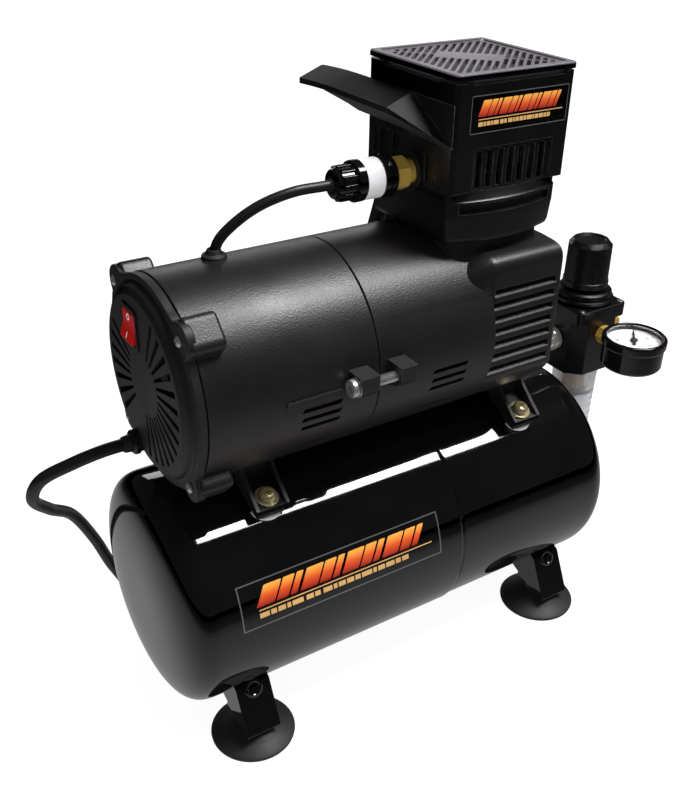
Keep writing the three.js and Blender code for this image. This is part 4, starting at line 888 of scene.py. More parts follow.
# ---------------------------------------------------------------- pump head
def base_ring(inset, z, r=6.5, belly=6.3):
    """The pump base in plan: a square whose front and rear faces bow outwards."""
    half_x, half_y = 33.0 - inset, 30.6 - inset
    points = []
    for rank in (-1, 1):
        for k in range(13):
            t = -1 + 2 * k / 12
            x, y = half_x * t, half_y + belly * (1 - t * t)
            points.append((HEAD_X - rank * x, rank * y, r if k in (0, 12) else 0))
    return [(x, y, z) for x, y in fillet(points, 0, steps=8)]


def build_head_base():
    low = 236.6
    base = loft([base_ring(3.6, low), base_ring(2.4, low + 0.3), base_ring(1.2, low + 1.4),
                 base_ring(0.7, 240), base_ring(0.1, 249), base_ring(0, 250), base_ring(0, 257.4),
                 base_ring(0.5, 258.2, belly=5.6), base_ring(0.4, BASE_TOP, belly=3.6)])
    pocket = prism(rect(HEAD_X - 28, -28.2, HEAD_X + 28, 28.2, 5), "z", 246, BASE_TOP + 1)
    well = rod((HEAD_X, 0, low - 2), (HEAD_X, 0, 247), 23, seg=96)
    collar = prism(rect(HEAD_X - 29.4, -31.4, HEAD_X + 29.4, 31.4, 13.4, 8), "z", low - 2, NECK_TOP + 0.3)
    flange = rod((HEAD_X, 0, low - 2), (HEAD_X, 0, 243), 27.3, seg=96)
    outer = prism([(x, y) for x, y, z in base_ring(-4, 0)], "z", 251.6, 256.2)
    inner = prism([(x, y) for x, y, z in base_ring(1.7, 0)], "z", 250, 258)
    groove = carve(outer, inner)
    combine("INTERSECT", groove, box((HEAD_X - 27, HEAD_X + 27), (-60, 0), (240, 270)))
    to_switch = rod((HEAD_X - 35, SWITCH_Y, SWITCH_Z), (HEAD_X - 25, SWITCH_Y, SWITCH_Z), 8.2)
    to_hose = rod((60, 25, SWITCH_Z - 1), (60, 42, SWITCH_Z - 1), 7.2)
    carve(base, pocket, well, collar, flange, groove, to_switch, to_hose)
    soften(base, 0.4, 2, 45)
    place(base, "pump_base", PLASTIC, "head_base")


def build_shroud():
    z0, z1 = SHROUD
    x0, x1 = HEAD_X - HEAD_HALF, HEAD_X + HEAD_HALF
    shroud = prism(rect(x0, -HEAD_HALF, x1, HEAD_HALF, 2.6, 6), "z", z0, z1)
    inner = prism(rect(x0 + 2.4, -31.6, x1 - 2.4, 31.6, 1.5), "z", z0 - 1, z1 + 1)
    to_switch = rod((x0 - 2, SWITCH_Y, SWITCH_Z), (x0 + 5, SWITCH_Y, SWITCH_Z), 8.2)
    to_hose = rod((60, 29, SWITCH_Z - 1), (60, 36, SWITCH_Z - 1), 7.2)
    recess = prism(rect(29.5, z0 - 1, 75.5, 281.3, 0.6), "y", -35, -33.0)
    relief = prism(rect(-22, z0 - 1, 28, 280.5, 0.8), "x", x0 - 1, x0 + 0.9)
    carve(shroud, inner, to_switch, to_hose, recess, relief)
    slots = []
    for i in range(7):
        x = 33 + i * 6.2
        slots.append(prism(rect(x - 1.5, z0 + 1, x + 1.5, 279.8, 0.7), "y", -36, -30))
        slots.append(prism(rect(x - 1.5, z0 + 12, x + 1.5, 290, 0.7), "y", 30, 36))
    for sx in (x0, x1 - 2):
        slots.append(box((sx - 1, sx + 3), (-22, 22), (z1 - 1.1, z1 + 1)))
    slots.append(box((x0 + 9, x1 - 5), (-36, -30), (z1 - 1.0, z1 + 1)))
    slots.append(box((x0 + 9, x1 - 9), (30, 36), (z1 - 1.0, z1 + 1)))
    carve(shroud, *slots)
    soften(shroud, 0.45, 2, 45)
    place(shroud, "pump_shroud", PLASTIC, "head_shroud")
    # Thin raised edges stand beside each slot and catch the light.
    fins = [box((34.4 + i * 6.2, 34.9 + i * 6.2), (-33.6, -32.6), (z0 + 1, 279.8)) for i in range(7)]
    fins = merge([soften(f, 0.15, 2) for f in fins])
    place(fins, "shroud_slot_fins", PLASTIC)
    for i, (y, low, high) in enumerate(((-13.5, 264, 276), (13, 264, 281), (24, 262.5, 281))):
        rib = prism(rect(y - 0.7, low, y + 0.7, high, 0.3), "x", x0 + 0.1, x0 + 1.3)
        soften(rib, 0.3, 2)
        place(rib, f"shroud_rib_{i + 1}", PLASTIC)


def build_grille():
    z1 = SHROUD[1]
    low, high = span("top_grille")
    x0, x1, y0, y1 = low.x, high.x, low.y, high.y
    plate = prism(rect(x0, y0, x1, y1, 2.4, 6), "z", z1 + 0.9, HEAD_TOP)
    soften(plate, 0.5, 3)
    lip = prism(rect(x0 + 3.5, y0 + 3.5, x1 - 3.5, y1 - 3.5, 1), "z", z1 - 4, z1 + 1.5)
    lip_hole = prism(rect(x0 + 5, y0 + 5, x1 - 5, y1 - 5, 1), "z", z1 - 5, z1 + 0.9)
    carve(lip, lip_hole)
    fuse(plate, lip)
    trim = prism(rect(x0 - 0.25, y0 - 0.25, x1 + 0.25, y1 + 0.25, 2.65, 6), "z", z1 + 0.85, HEAD_TOP - 0.75)
    carve(trim, prism(rect(x0 + 0.6, y0 + 0.6, x1 - 0.6, y1 - 0.6, 2, 6), "z", z1, HEAD_TOP))
    soften(trim, 0.2, 2)
    place(trim, "grille_trim", GLOSS)
    field = prism(rect(x0 + 3.2, y0 + 3.2, x1 - 3.2, y1 - 3.2, 1.2), "z", HEAD_TOP - 0.7, HEAD_TOP + 1)
    carve(plate, field)
    centre_x, centre_y = (x0 + x1) / 2, (y0 + y1) / 2
    # Rows of slanted slots leave a border, a thin diagonal rib and a plain middle.
    half, pitch = 41.5, 3.45
    slots = []
    for side in (-1, 1):
        for i in range(-12, 13):
            across = (i + (0.25 if side > 0 else -0.25)) * pitch
            inner = 7.6 if abs(across) < 15.5 else 0.7
            outer = half - abs(across) - 1.2
            if outer - inner < 2:
                continue
            bar = prism(rect(inner, across - 1.05, outer, across + 1.05, 0.5), "z", HEAD_TOP - 6,
                        HEAD_TOP + 1)
            turn = spun(45 if side > 0 else 225, "Z")
            slots.append(moved(bar, Matrix.Translation((centre_x, centre_y, 0)) @ turn))
    screen = prism(rect(x0 + 5.2, y0 + 5.2, x1 - 5.2, y1 - 5.2, 1), "z", z1 + 0.2, z1 + 0.85)
    place(screen, "grille_screen", SCREEN)
    carve(plate, *slots)
    place(plate, "vent_grille", GRILLE, "top_grille")
    for sx in (-1, 1):
        for sy in (-1, 1):
            x, y = centre_x + sx * 31.2, centre_y + sy * 31.2
            head = turned([(0, -0.1), (2.0, -0.1), (2.0, 0.25, 0.2), (1.3, 0.6, 0.3), (0, 0.68)], "z",
                          (x, y, HEAD_TOP - 0.7), 40)
            name = f"grille_screw_{corner(sx, sy)}"
            place(head, name, STEEL)


def build_handle():
    low, high = BELT
    inner, reach, tip_y = 16.9, 14.3, 75
    out = inner - reach

    def section(y, top, bottom):
        return [(inner, y, bottom), (inner, y, top), (inner - 1.4, y, top), (out, y, top - 5.0),
                (out, y, top - 7.8)]

    body = loft([section(-3, high, low + 1), section(30, high, low + 1), section(42, high, low + 1),
                 section(52, high - 0.2, low + 2.4), section(64, high - 0.8, low + 5.4),
                 section(tip_y, high - 1.6, low + 8.5)])
    nose = box((-15, 15), (-10, 10), (-20, 20))
    moved(nose, Matrix.Translation((inner - 21, -14.5, 290)) @ spun(-30, "Z"))
    carve(body, nose)
    # The near end falls away as a pyramid to the corner of the shroud.
    near = section(-3.05, high, low + 1)
    apex = Vector((inner, -HEAD_HALF, low))
    ramp = loft([near, [apex + (Vector(p) - apex) * 0.01 for p in near]])
    belt = box((inner - 0.35, inner + 0.02), (-HEAD_HALF + 0.4, 0), (low, high + 0.3))
    fuse(body, ramp, belt)
    soften(body, 0.35, 3, 24)
    return body


def build_switch():
    y, z = SWITCH_Y, SWITCH_Z
    nut = hexagon((3.9, y, z), (12.8, y, z), 8.3)
    pipe = rod((2, y, z), (27, y, z), 5.6)
    fuse(nut, pipe)
    place(nut, "switch_hex", BRASS, "switch_fitting")
    collar = turned([(6.4, 16.3), (8.8, 16.3, 0.4), (8.8, 17.4), (6.4, 17.4)], "x", (0, y, z), 96)
    place(collar, "switch_collar", PLASTIC)
    can = turned([(4.5, 0.6), (4.5, 5.1), (8.9, 5.1, 0.6), (9.9, 4.0, 0.6), (9.9, 1.2, 0.3), (9.3, 0.9),
                  (9.3, 0.3), (9.8, 0.1, 0.2), (9.8, -2.4), (9.15, -2.5), (9.15, -11.9), (9.6, -12.0, 0.2),
                  (9.6, -15.6, 0.5), (8.9, -16.3, 0.3), (7.5, -16.5), (7.5, -23.4, 1.0), (6.6, -25.6, 1.0),
                  (4.4, -26.2, 0.6), (3.1, -26.2), (3.1, -18), (0, -18), (0, 0.6)], "x", (0, y, z), 120,
                  steps=5)
    ribs = []
    for i in range(12):
        rib = prism(rect(y - 1.15, z + 6.9, y + 1.15, z + 8.3, 0.5), "x", -23.6, -16.2)
        soften(rib, 0.4, 2)
        ribs.append(moved(rib, spun(i * 30, "X", (0, y, z))))
    fuse(can, *ribs)
    place(can, "pressure_switch_body", GLOSS, "pressure_switch")
    band = turned([(9.2, -2.6), (9.35, -2.6), (9.35, -11.8), (9.2, -11.8)], "x", (0, y, z), 120)
    place(band, "switch_band", WHITE)
    path = [(-21, y, z), (-30, y, z), (-45, y + 1, z - 0.5), (-60, y + 4, z - 5), (-71, y + 7, z - 12),
            (-78, y + 10, z - 20), (-80, y + 11, z - 27), (-80, y + 11, z - 36)]
    place(sweep(path, 2.4, 120, 20), "switch_lead", CABLE, "switch_cable")
    sleeve = turned([(2.5, -20.6), (2.95, -20.6), (2.95, -27.4, 0.3), (2.5, -27.4)], "x", (0, y, z), 48)
    place(sleeve, "switch_lead_sleeve", RUBBER)
    grommet = turned([(2.5, 230), (3.1, 230), (3.1, 237.4), (5.9, 237.6, 0.4), (5.6, 239.3, 0.6),
                      (3.9, 240.0, 0.6), (3.1, 242.0, 0.4), (2.5, 242.0)], "z", (-80, 8, 0), 64)
    place(grommet, "lead_grommet", RUBBER)


# ---------------------------------------------------------------- labels
# Where each slanted bar starts and how wide it is, then the widths of the small dashes; 0 is a gap.
BARS = ((0.0, 9), (0.105, 6), (0.18, 3.5), (0.235, 9), (0.34, 6), (0.415, 3.5), (0.47, 9), (0.575, 6),
        (0.65, 3.5), (0.705, 9), (0.81, 6), (0.885, 3.5))
DASHES = (5, 3, 4, 2, 6, 0, 4, 3, 0, 5, 2, 4, 4, 3, 6, 2, 4, 5, 3, 4)


def bent(outline, wrap, thick):
    """A thin flat print carried onto a surface: wrap(u, v, height) gives the point in space."""
    bm = bmesh.new()
    low = [bm.verts.new((u, v, 0)) for u, v in outline]
    high = [bm.verts.new((u, v, thick)) for u, v in outline]
    bm.faces.new(low)
    bm.faces.new(high)
    for i in range(len(outline)):
        j = (i + 1) % len(outline)
        bm.faces.new([low[i], low[j], high[j], high[i]])
    for k in range(1, 24):
        cut_at = k / 24
        bmesh.ops.bisect_plane(bm, geom=[*bm.verts, *bm.edges, *bm.faces], plane_co=(0, cut_at, 0),
                               plane_no=(0, 1, 0))
    for vertex in bm.verts:
        vertex.co = wrap(vertex.co.x, vertex.co.y, vertex.co.z)
    return to_object(bm)


def build_label(name, wrap, finish):
    """A generic label: a thin frame, a row of slanted bars in flame colours, a line and a row of dashes."""
    place(bent(rect(0, 0, 1, 1), wrap, 0.10), f"{name}_foil", FOIL)
    edge = 0.006
    tall = 0.028
    for k, (u0, v0, u1, v1) in enumerate(((0, 0, 1, tall), (0, 1 - tall, 1, 1), (0, 0, edge, 1),
                                          (1 - edge, 0, 1, 1))):
        place(bent(rect(u0, v0, u1, v1), wrap, 0.15), f"{name}_edge_{k + 1}", RIM)
    slant = 0.05
    for k, (u, width) in enumerate(BARS):
        u0, u1 = 0.07 + u * 0.87, 0.07 + u * 0.87 + width * 0.0092
        outline = fillet([(u0, 0.44), (u1, 0.44), (u1 + slant, 0.86), (u0 + slant, 0.86)], 0.012, steps=2)
        bar = bent(outline, wrap, 0.17)
        place(bar, f"{name}_bar_{k + 1}", finish)
    place(bent(rect(0.08, 0.355, 0.95, 0.38), wrap, 0.17), f"{name}_line", CREAM)
    u = 0.08
    for k, width in enumerate(DASHES):
        if width:
            dash = rect(u, 0.19, u + width * 0.0088, 0.30)
            place(bent(dash, wrap, 0.17), f"{name}_dash_{k + 1}", CREAM)
        u += width * 0.0088 + 0.007


def build_labels():
    def on_tank(u, v, height):
        angle = math.radians(8 + 22 * v)
        r = TANK_R + 0.04 + height
        return Vector((-106 + 114 * u, -r * math.cos(angle), TANK_Z + r * math.sin(angle)))

    def on_head(u, v, height):
        return Vector((25.5 + 56.5 * u, -HEAD_HALF - 0.02 - height * 0.8, 288.3 + 16.7 * v))

    low = TANK_Z + TANK_R * math.sin(math.radians(17.7))
    high = TANK_Z + TANK_R * math.sin(math.radians(27))
    build_label("tank_label", on_tank, flame_print("tank_flame", low, high))
    build_label("head_label", on_head, flame_print("head_flame", 295.6, 302.7))


# ---------------------------------------------------------------- pipework
def build_pipework():
    turn = math.radians(REAR_PORT)
    out = Vector((0, -math.cos(turn), math.sin(turn)))
    seat = Vector((30, 0, TANK_Z)) + out * PORT_SEAT
    boss = turned([(4.5, -6), (8.7, -6), (8.7, -0.3, 0.8), (4.5, -0.3)], seg=64)

    def on_tank(obj, x, a, lean=0.0):
        a = math.radians(a)
        direction = Vector((0, -math.cos(a), math.sin(a)))
        seat = Vector((x, lean, TANK_Z)) + direction * PORT_SEAT
        return moved(obj, Matrix.Translation(seat) @ facing(direction))

    for x, a, lean, name in ((30, REAR_PORT, 0, "check"), (-40, REAR_PORT, 0, "safety"),
                             (101, 90, 10, "outlet"), (0, -90, 0, "drain")):
        place(on_tank(copy(boss), x, a, lean), f"port_boss_{name}", ENAMEL)
    bpy.data.objects.remove(boss)

    stem = seat + out * 12.8
    valve = hexagon(seat, seat + out * 6, 8)
    fuse(valve, rod(seat - out * 8, stem, 4.1, edge=0.3),
         rod(stem - Vector((0, 0, 4)), stem + Vector((0, 0, 10)), 4.9, edge=0.4))
    place(valve, "check_valve_body", BRASS, "check_valve")
    union_z = SWITCH_Z - 1
    end = stem + Vector((0, 0, 10.3))
    path = [(60, 44, union_z), (60, 55, union_z - 1), (57, 64, union_z - 14), (50, 70, 215), (42, 72, 180),
            (32, 66, 156), (30, end.y, end.z + 12), (30, end.y, end.z)]
    place(sweep(path, 4.6, 170, 24), "delivery_hose", BRAID, "air_hose")
    union = hexagon((60, 35.2, union_z), (60, 41, union_z), 6.5)
    fuse(union, rod((60, 24, union_z), (60, 46, union_z), 3.9))
    place(union, "hose_union", BRASS)
    for k, (centre, along) in enumerate((((60, 46.5, union_z), (0, 1, 0)),
                                         ((30, end.y, end.z + 4.5), (0, 0, 1)))):
        ferrule = turned([(4.65, -4), (5.3, -4, 0.3), (5.3, -1.2, 0.3), (5.0, -0.8, 0.2), (5.3, -0.4, 0.2),
                          (5.3, 3.6, 0.4), (4.65, 3.6)], seg=64)
        place(moved(ferrule, Matrix.Translation(centre) @ facing(along)), f"hose_ferrule_{k + 1}", STEEL)

    x, y = 101, 10
    elbow = sweep([(x, y, 124), (x, y, 133), (x, y, 139), (x + 3.2, y, PORT_Z - 0.4), (x + 9, y, PORT_Z),
                   (117.8, y, PORT_Z)], 5.6, 60, 40)
    bead = rod((x, y, 135.6), (x, y, 138.4), 7, edge=0.6)
    lip = rod((113.5, y, PORT_Z), (118, y, PORT_Z), 6.6, edge=0.6)
    fuse(elbow, bead, lip)
    place(elbow, "outlet_bend", SATIN, "outlet_elbow")
    nipple = hexagon((118.3, y, PORT_Z), (129, y, PORT_Z), 7.4)
    fuse(nipple, rod((110, y, PORT_Z), (151, y, PORT_Z), 3.6),
         rod((130.6, y, PORT_Z), (135.2, y, PORT_Z), 7, edge=0.9),
         rod((136.2, y, PORT_Z), (141.1, y, PORT_Z), 7, edge=0.9),
         rod((128, y, PORT_Z), (140, y, PORT_Z), 5.4))
    place(nipple, "nickel_union", NICKEL, "inlet_nipple")

    knob = prism(rect(-9, 1.6, 9, 5, 1.2), "y", -1.4, 1.4)
    soften(knob, 0.4, 2)
    fuse(knob, rod((0, 0, 4.4), (0, 0, 8.6), 6.4, edge=0.5), rod((0, 0, 8), (0, 0, 20), 3.4))
    place(knob, "drain_tap", BRASS, "drain_valve", body="drain")

    seat = Vector((-40, 0, TANK_Z)) + out * 63.4
    valve = hexagon(seat, seat + out * 6, 7.6)
    fuse(valve, rod(seat - out * 8, seat + out * 6, 4.1),
         rod(seat + out * 5.5, seat + out * 16, 5.4, edge=0.7))
    carve(valve, rod(seat + out * 8, seat + out * 18, 2.4))
    place(valve, "safety_valve_body", BRASS, "safety_valve")
    ring_at = seat + out * 25.2
    ring = turned([(5.1, -0.9), (6.9, -0.9), (6.9, 0.9), (5.1, 0.9)], "x", ring_at, 72, edge=0.9, steps=6)
    fuse(ring, rod(seat + out * 9, seat + out * 20.2, 2, edge=0.3))
    place(ring, "pull_ring_wire", STEEL, "safety_ring", body="pull_ring")


# ---------------------------------------------------------------- regulator and gauge
def octagon(half, corner, r=0.8):
    near = half - corner
    points = [(-half, -near), (-near, -half), (near, -half), (half, -near), (half, near), (near, half),
              (-near, half), (-half, near)]
    return fillet([(a + REG_X, b + REG_Y) for a, b in points], r, steps=3)


def build_regulator():
    x, y, half = REG_X, REG_Y, REG_HALF
    z0, z1 = REG_Z
    body = prism(octagon(half, 8), "z", z0, z1)
    top = prism(rect(x - half, y - half, x + half, y + half, 4, 6), "z", z1 - 2.5, z1 + 6)
    soften(body, 0.7, 3)
    soften(top, 0.8, 3)
    foot = rod((x, y, z0 + 0.02), (x, y, z0 + 9), 18.1, seg=96, edge=1)
    collar = turned([(0, z1 + 4), (15.2, z1 + 4), (15.2, z1 + 7), (17.6, z1 + 7.3, 0.4),
                     (17.6, z1 + 9.4, 0.4), (15.8, z1 + 9.7), (15.8, z1 + 10.2, 0.2), (16.4, z1 + 10.4, 0.3),
                     (16.2, z1 + 12.6, 0.3), (14.6, z1 + 13.4, 0.3), (0, z1 + 13.6)], "z", (x, y, 0), 96)
    fuse(body, top, foot, collar)
    bores = [rod((x - half - 1, y, PORT_Z), (x - 8, y, PORT_Z), 4.2),
             rod((x + 8, y, PORT_Z), (x + half + 1, y, PORT_Z), 4.2),
             rod((x, y - half - 1, 148), (x, y - half + 7, 148), 4.2),
             rod((x, y, z1 - 6), (x, y, KNOB_Z[0] + 1), 5), rod((x, y, z0 - 1), (x, y, z0 + 8), BOWL - 2.6)]
    carve(body, *bores)
    place(body, "regulator_housing", KNOB_BLACK, "regulator_body")
    for sx in (-1, 1):
        for sy in (-1, 1):
            head = turned([(0, 0), (1.7, 0), (1.7, 0.5, 0.4), (0, 0.9)], "z",
                          (x + sx * 15.4, y + sy * 15.4, z1 + 5.9), 36)
            name = f"regulator_screw_{corner(sx, sy)}"
            place(head, name, DULL_STEEL)


def build_knob():
    x, y, z1 = REG_X, REG_Y, REG_Z[1]
    k0, k1 = KNOB_Z
    knob = turned([(KNOB_R - 2, k0), (KNOB_R + 0.5, k0, 0.4), (KNOB_R + 0.5, k0 + 3.4, 0.3),
                   (KNOB_R, k0 + 3.8, 0.3), (KNOB_R - 0.3, k1 - 2.4, 0.5), (KNOB_R - 1.9, k1, 0.5),
                   (8.4, k1, 0.3), (8.0, k1 - 0.8, 0.3), (0, k1 - 0.8), (0, k1 - 7), (KNOB_R - 2, k1 - 7)],
                   "z", (x, y, 0), 120)
    facet = box((KNOB_R - 0.9, KNOB_R + 3), (-4, 4), (k1 - 4.2, k1 + 2))
    carve(knob, *around(facet, 12, x, y, lean=spun(-42, "Y", (KNOB_R - 0.6, 0, k1 - 2))))
    groove = rod((KNOB_R + 0.75, 0, k0 + 5), (KNOB_R + 0.75, 0, k1 - 5), 0.95, seg=20)
    carve(knob, *around(groove, 24, x, y, 7.5))
    soften(knob, 0.25, 2, 40)
    place(knob, "regulator_knob_cap", KNOB_BLACK, "regulator_knob", body="adjusting_knob")
    spindle = rod((x, y, z1 - 3), (x, y, k1 - 12), 4.2, edge=0.3)
    fuse(spindle, rod((x, y, k0 + 3), (x, y, k0 + 9), 9.4, edge=0.5))
    place(spindle, "knob_spindle", DULL_STEEL, "regulator_spindle", body="adjusting_spindle")


def build_bowl():
    x, y, z0 = REG_X + BOWL_SHIFT, REG_Y, REG_Z[0]
    cup = turned([(BOWL - 3.2, z0 + 6), (BOWL - 5, z0 + 6), (BOWL - 5.0, z0 - 12), (BOWL - 5.4, 72),
                  (BOWL - 8, 64.2, 3), (3.4, 62.4), (3.4, 59), (6, 59, 0.6), (BOWL - 4.6, 60.6, 2),
                  (BOWL - 2.4, 66, 3), (BOWL - 1.2, 74), (BOWL - 0.2, z0 - 8), (BOWL, z0 - 7, 0.5),
                  (BOWL, z0 - 0.3, 0.3), (BOWL - 3.2, z0 - 0.3)], "z", (x, y, 0), 112, steps=5)
    place(cup, "clear_bowl", CLEAR, "filter_bowl")
    rings = []
    for i in range(7):
        z = 71 + i * 5
        rings.append(turned([(BOWL - 1.35 + i * 0.05, z), (BOWL - 0.95 + i * 0.1, z),
                             (BOWL - 0.95 + i * 0.1, z + 0.7), (BOWL - 1.35 + i * 0.05, z + 0.7)], "z",
                             (x, y, 0), 112, edge=0.2))
    place(merge(rings), "bowl_rings", CLEAR)
    element = turned([(0, 104.6), (6.6, 104.6, 0.5), (6.6, z0 + 7, 0.4), (0, z0 + 7)], "z", (x, y, 0), 64)
    fuse(element, *around(rod((6.5, 0, 105.4), (6.5, 0, z0 + 6.4), 0.55, seg=16), 18, x, y))
    place(element, "filter_cartridge", SINTER, "filter_element")
    baffle = turned([(0, 97), (3.6, 97, 0.5), (3.6, 100.6), (9, 101.2, 0.6), (9, 103.6, 0.5), (7, 104.3),
                     (0, 104.3)], "z", (x, y, 0), 72)
    place(baffle, "filter_baffle", BAFFLE)
    button = turned([(0, 48.5), (4.6, 48.5, 0.7), (4.6, 56.5, 0.5), (2.9, 56.5), (2.9, 65), (3.2, 65),
                     (3.2, 67, 0.4), (0, 67)], "z", (x, y, 0), 56)
    place(button, "drain_button", DARK, "bowl_drain", body="bowl_button")


def build_air_outlet():
    x, y, half = REG_X, REG_Y, REG_HALF
    port = hexagon((x + half + 0.3, y, PORT_Z), (x + half + 5, y, PORT_Z), 5.0)
    profile = [(0, 0), (3.6, 0)]
    for i in range(9):
        profile += [(3.6, 1 + i * 0.85), (3.2, 1.42 + i * 0.85)]
    profile += [(3.4, 9), (0, 9)]
    thread = moved(lathe(profile, "x", (0, 0, 0), 48), Matrix.Translation((x + half + 5, y, PORT_Z)))
    fuse(port, thread, rod((x + 9, y, PORT_Z), (x + half + 5.2, y, PORT_Z), 3.6))
    carve(port, rod((x + half + 4, y, PORT_Z), (x + half + 15, y, PORT_Z), 1.8))
    place(port, "air_outlet_union", BRASS, "air_outlet")


# The strokes of each digit on the dial, as x0, y0, x1, y1 in a unit box.
SEGMENTS = {
    "0": ((0, 0, 1, 0), (0, 1, 1, 1), (0, 0, 0, 1), (1, 0, 1, 1)),
    "2": ((0, 1, 1, 1), (1, 0.5, 1, 1), (0, 0.5, 1, 0.5), (0, 0, 0, 0.5), (0, 0, 1, 0)),
    "4": ((0, 0.5, 0, 1), (0, 0.5, 1, 0.5), (1, 0, 1, 1)),
    "6": ((0, 1, 1, 1), (0, 0, 0, 1), (0, 0, 1, 0), (0, 0.5, 1, 0.5), (1, 0, 1, 0.5)),
    "8": ((0, 1, 1, 1), (0, 0, 0, 1), (0, 0, 1, 0), (0, 0.5, 1, 0.5), (1, 0, 1, 1)),
    "1": ((0.6, 0, 0.6, 1),),
}


def dial_mark(a0, a1, r0, r1, z, thick=0.06, steps=1):
    """A flat wedge of a ring on the dial."""
    x, y = REG_X, GAUGE_Y
    angles = [a0 + (a1 - a0) * k / steps for k in range(steps + 1)]
    outline = [(x + r1 * math.cos(a), y + r1 * math.sin(a)) for a in angles]
    outline += [(x + r0 * math.cos(a), y + r0 * math.sin(a)) for a in reversed(angles)]
    return prism(outline, "z", z, z + thick)


def build_gauge():
    x, y = REG_X, GAUGE_Y
    z0, z1 = GAUGE_Z
    r = GAUGE_R
    case = turned([(0, z0), (r - 2.4, z0, 0.6), (r - 0.9, z0 + 1.6, 1.0), (r - 0.9, z1 - 5.6, 0.3),
                   (r - 0.4, z1 - 5.2, 0.3), (r, z1 - 4.6, 0.4), (r, z1 - 0.9, 0.8), (r - 1.0, z1, 0.8),
                   (r - 2.3, z1, 0.5), (r - 2.5, z1 - 1.8), (r - 2.4, z1 - 4.6), (0, z1 - 4.6)], "z",
                   (x, y, 0), 128, steps=5)
    socket = rod((x, y + 8, 148), (x, y + r + 1, 148), 4.2)
    pivot = rod((x, y, z1 - 7.6), (x, y, z1 - 4), 1.5, seg=32)
    carve(case, socket, pivot)
    place(case, "gauge_body", GLOSS, "gauge_case")
    dial = lathe([(1.5, z1 - 4.58), (r - 2.55, z1 - 4.58), (r - 2.55, z1 - 4.4), (1.5, z1 - 4.4)], "z",
                 (x, y, 0), 96)
    place(dial, "gauge_dial", DIAL)
    face = z1 - 4.4
    marks = []
    start, sweep_angle = math.radians(45), math.radians(-270)
    for i in range(51):
        a = start + sweep_angle * i / 50
        major, half_mark = i % 10 == 0, i % 5 == 0
        inner = 11.6 if major else 12.5 if half_mark else 13.2
        wide = 0.028 if major else 0.016
        marks.append(dial_mark(a - wide / 2, a + wide / 2, inner, 14.4, face))
    place(merge(marks), "dial_ticks", INK)
    red_arc = dial_mark(start + sweep_angle * 0.8, start + sweep_angle, 14.5, 15.0, face, steps=20)
    place(red_arc, "dial_red_arc", RED_INK)
    place(dial_mark(start, start + sweep_angle * 0.79, 14.62, 14.8, face, steps=60), "dial_arc", INK)
    strokes = []
    for i, digits in enumerate(("0", "2", "4", "6", "8", "10")):
        a = start + sweep_angle * i / 5
        cx, cy = x + 9.3 * math.cos(a), y + 9.3 * math.sin(a)
        for k, digit in enumerate(digits):
            shift = (k - (len(digits) - 1) / 2) * 1.6
            for u0, v0, u1, v1 in SEGMENTS[digit]:
                # The dial reads upright with its stem at the bottom, so its top points to -Y.
                p = [((u - 0.5) * 1.1 + shift, (v - 0.5) * 2.0) for u, v in ((u0, v0), (u1, v1))]
                low_u, high_u = min(p[0][0], p[1][0]) - 0.14, max(p[0][0], p[1][0]) + 0.14
                low_v, high_v = min(p[0][1], p[1][1]) - 0.14, max(p[0][1], p[1][1]) + 0.14
                strokes.append(box((cx - high_u, cx - low_u), (cy - high_v, cy - low_v), (face, face + 0.06)))
    place(merge(strokes), "dial_numbers", INK)
    stem = hexagon((x, y + r + 0.2, 148), (x, REG_Y - REG_HALF - 0.3, 148), 5.6)
    fuse(stem, rod((x, y + 9, 148), (x, REG_Y - REG_HALF + 6, 148), 3.6))
    place(stem, "gauge_union", BRASS, "gauge_stem")
    needle = prism([(x - 0.75, y - 5.5), (x + 0.75, y - 5.5), (x + 0.28, y + 12.6), (x - 0.28, y + 12.6)],
                   "z", z1 - 3.9, z1 - 3.4)
    hub = rod((x, y, z1 - 4.1), (x, y, z1 - 2.9), 2.1, edge=0.4)
    post = rod((x, y, z1 - 7), (x, y, z1 - 2.75), 1.05, edge=0.2)
    fuse(needle, hub, post)
    place(moved(needle, spun(-45, "Z", (x, y, 0))), "gauge_needle", INK, "gauge_pointer", body="needle",
          slot="black_plastic")
    lens = lathe(fillet([(0, z1 - 1.9), (r - 2.7, z1 - 1.9), (r - 2.7, z1 - 0.9), (0, z1 - 0.8)], 0.1,
                        False), "z", (x, y, 0), 96)
    place(lens, "gauge_glass", GLASS, "gauge_lens")


# ---------------------------------------------------------------- build everything
build_tank()
build_feet()
build_mounts()
build_left_shell()
build_right_shell()
build_shell_fittings()
build_end_cap()
build_rocker()
build_cord()
build_head_base()
build_shroud()
build_grille()
place(build_handle(), "carry_grip", HANDLE_BLACK, "carry_handle")
build_switch()
build_labels()
build_pipework()
build_regulator()
build_knob()
build_bowl()
build_air_outlet()
build_gauge()

for node, finish in {
    "stator": COPPER, "rotor": DULL_STEEL, "bearing_rear": STEEL, "bearing_front": STEEL, "cooling_fan": DARK,
    "crank_disc": DULL_STEEL, "connecting_rod": ALLOY, "piston": ALLOY, "cylinder_sleeve": DULL_STEEL,
    "cylinder_head": ALLOY, "head_fan_frame": DARK, "head_fan": DARK,
}.items():
    repaint(node, finish)

# ---------------------------------------------------------------- studio
FLOOR_GLOW, FLOOR_IN_GLOSS, FLOOR_GLOW_SHARE = 1.3, 0.62, 0.72
FLOOR_OVAL = (5.0, 8.0, 0)
FLOOR_FADE = ((0, 0.5), (0.15, 0.55), (0.24, 0.62), (0.34, 0.6), (0.5, 0.5), (0.7, 0.26), (0.88, 0.06),
              (1, 0.03))
SKY_GLOW, SKY_IN_GLOSS = 0.45, 0.02


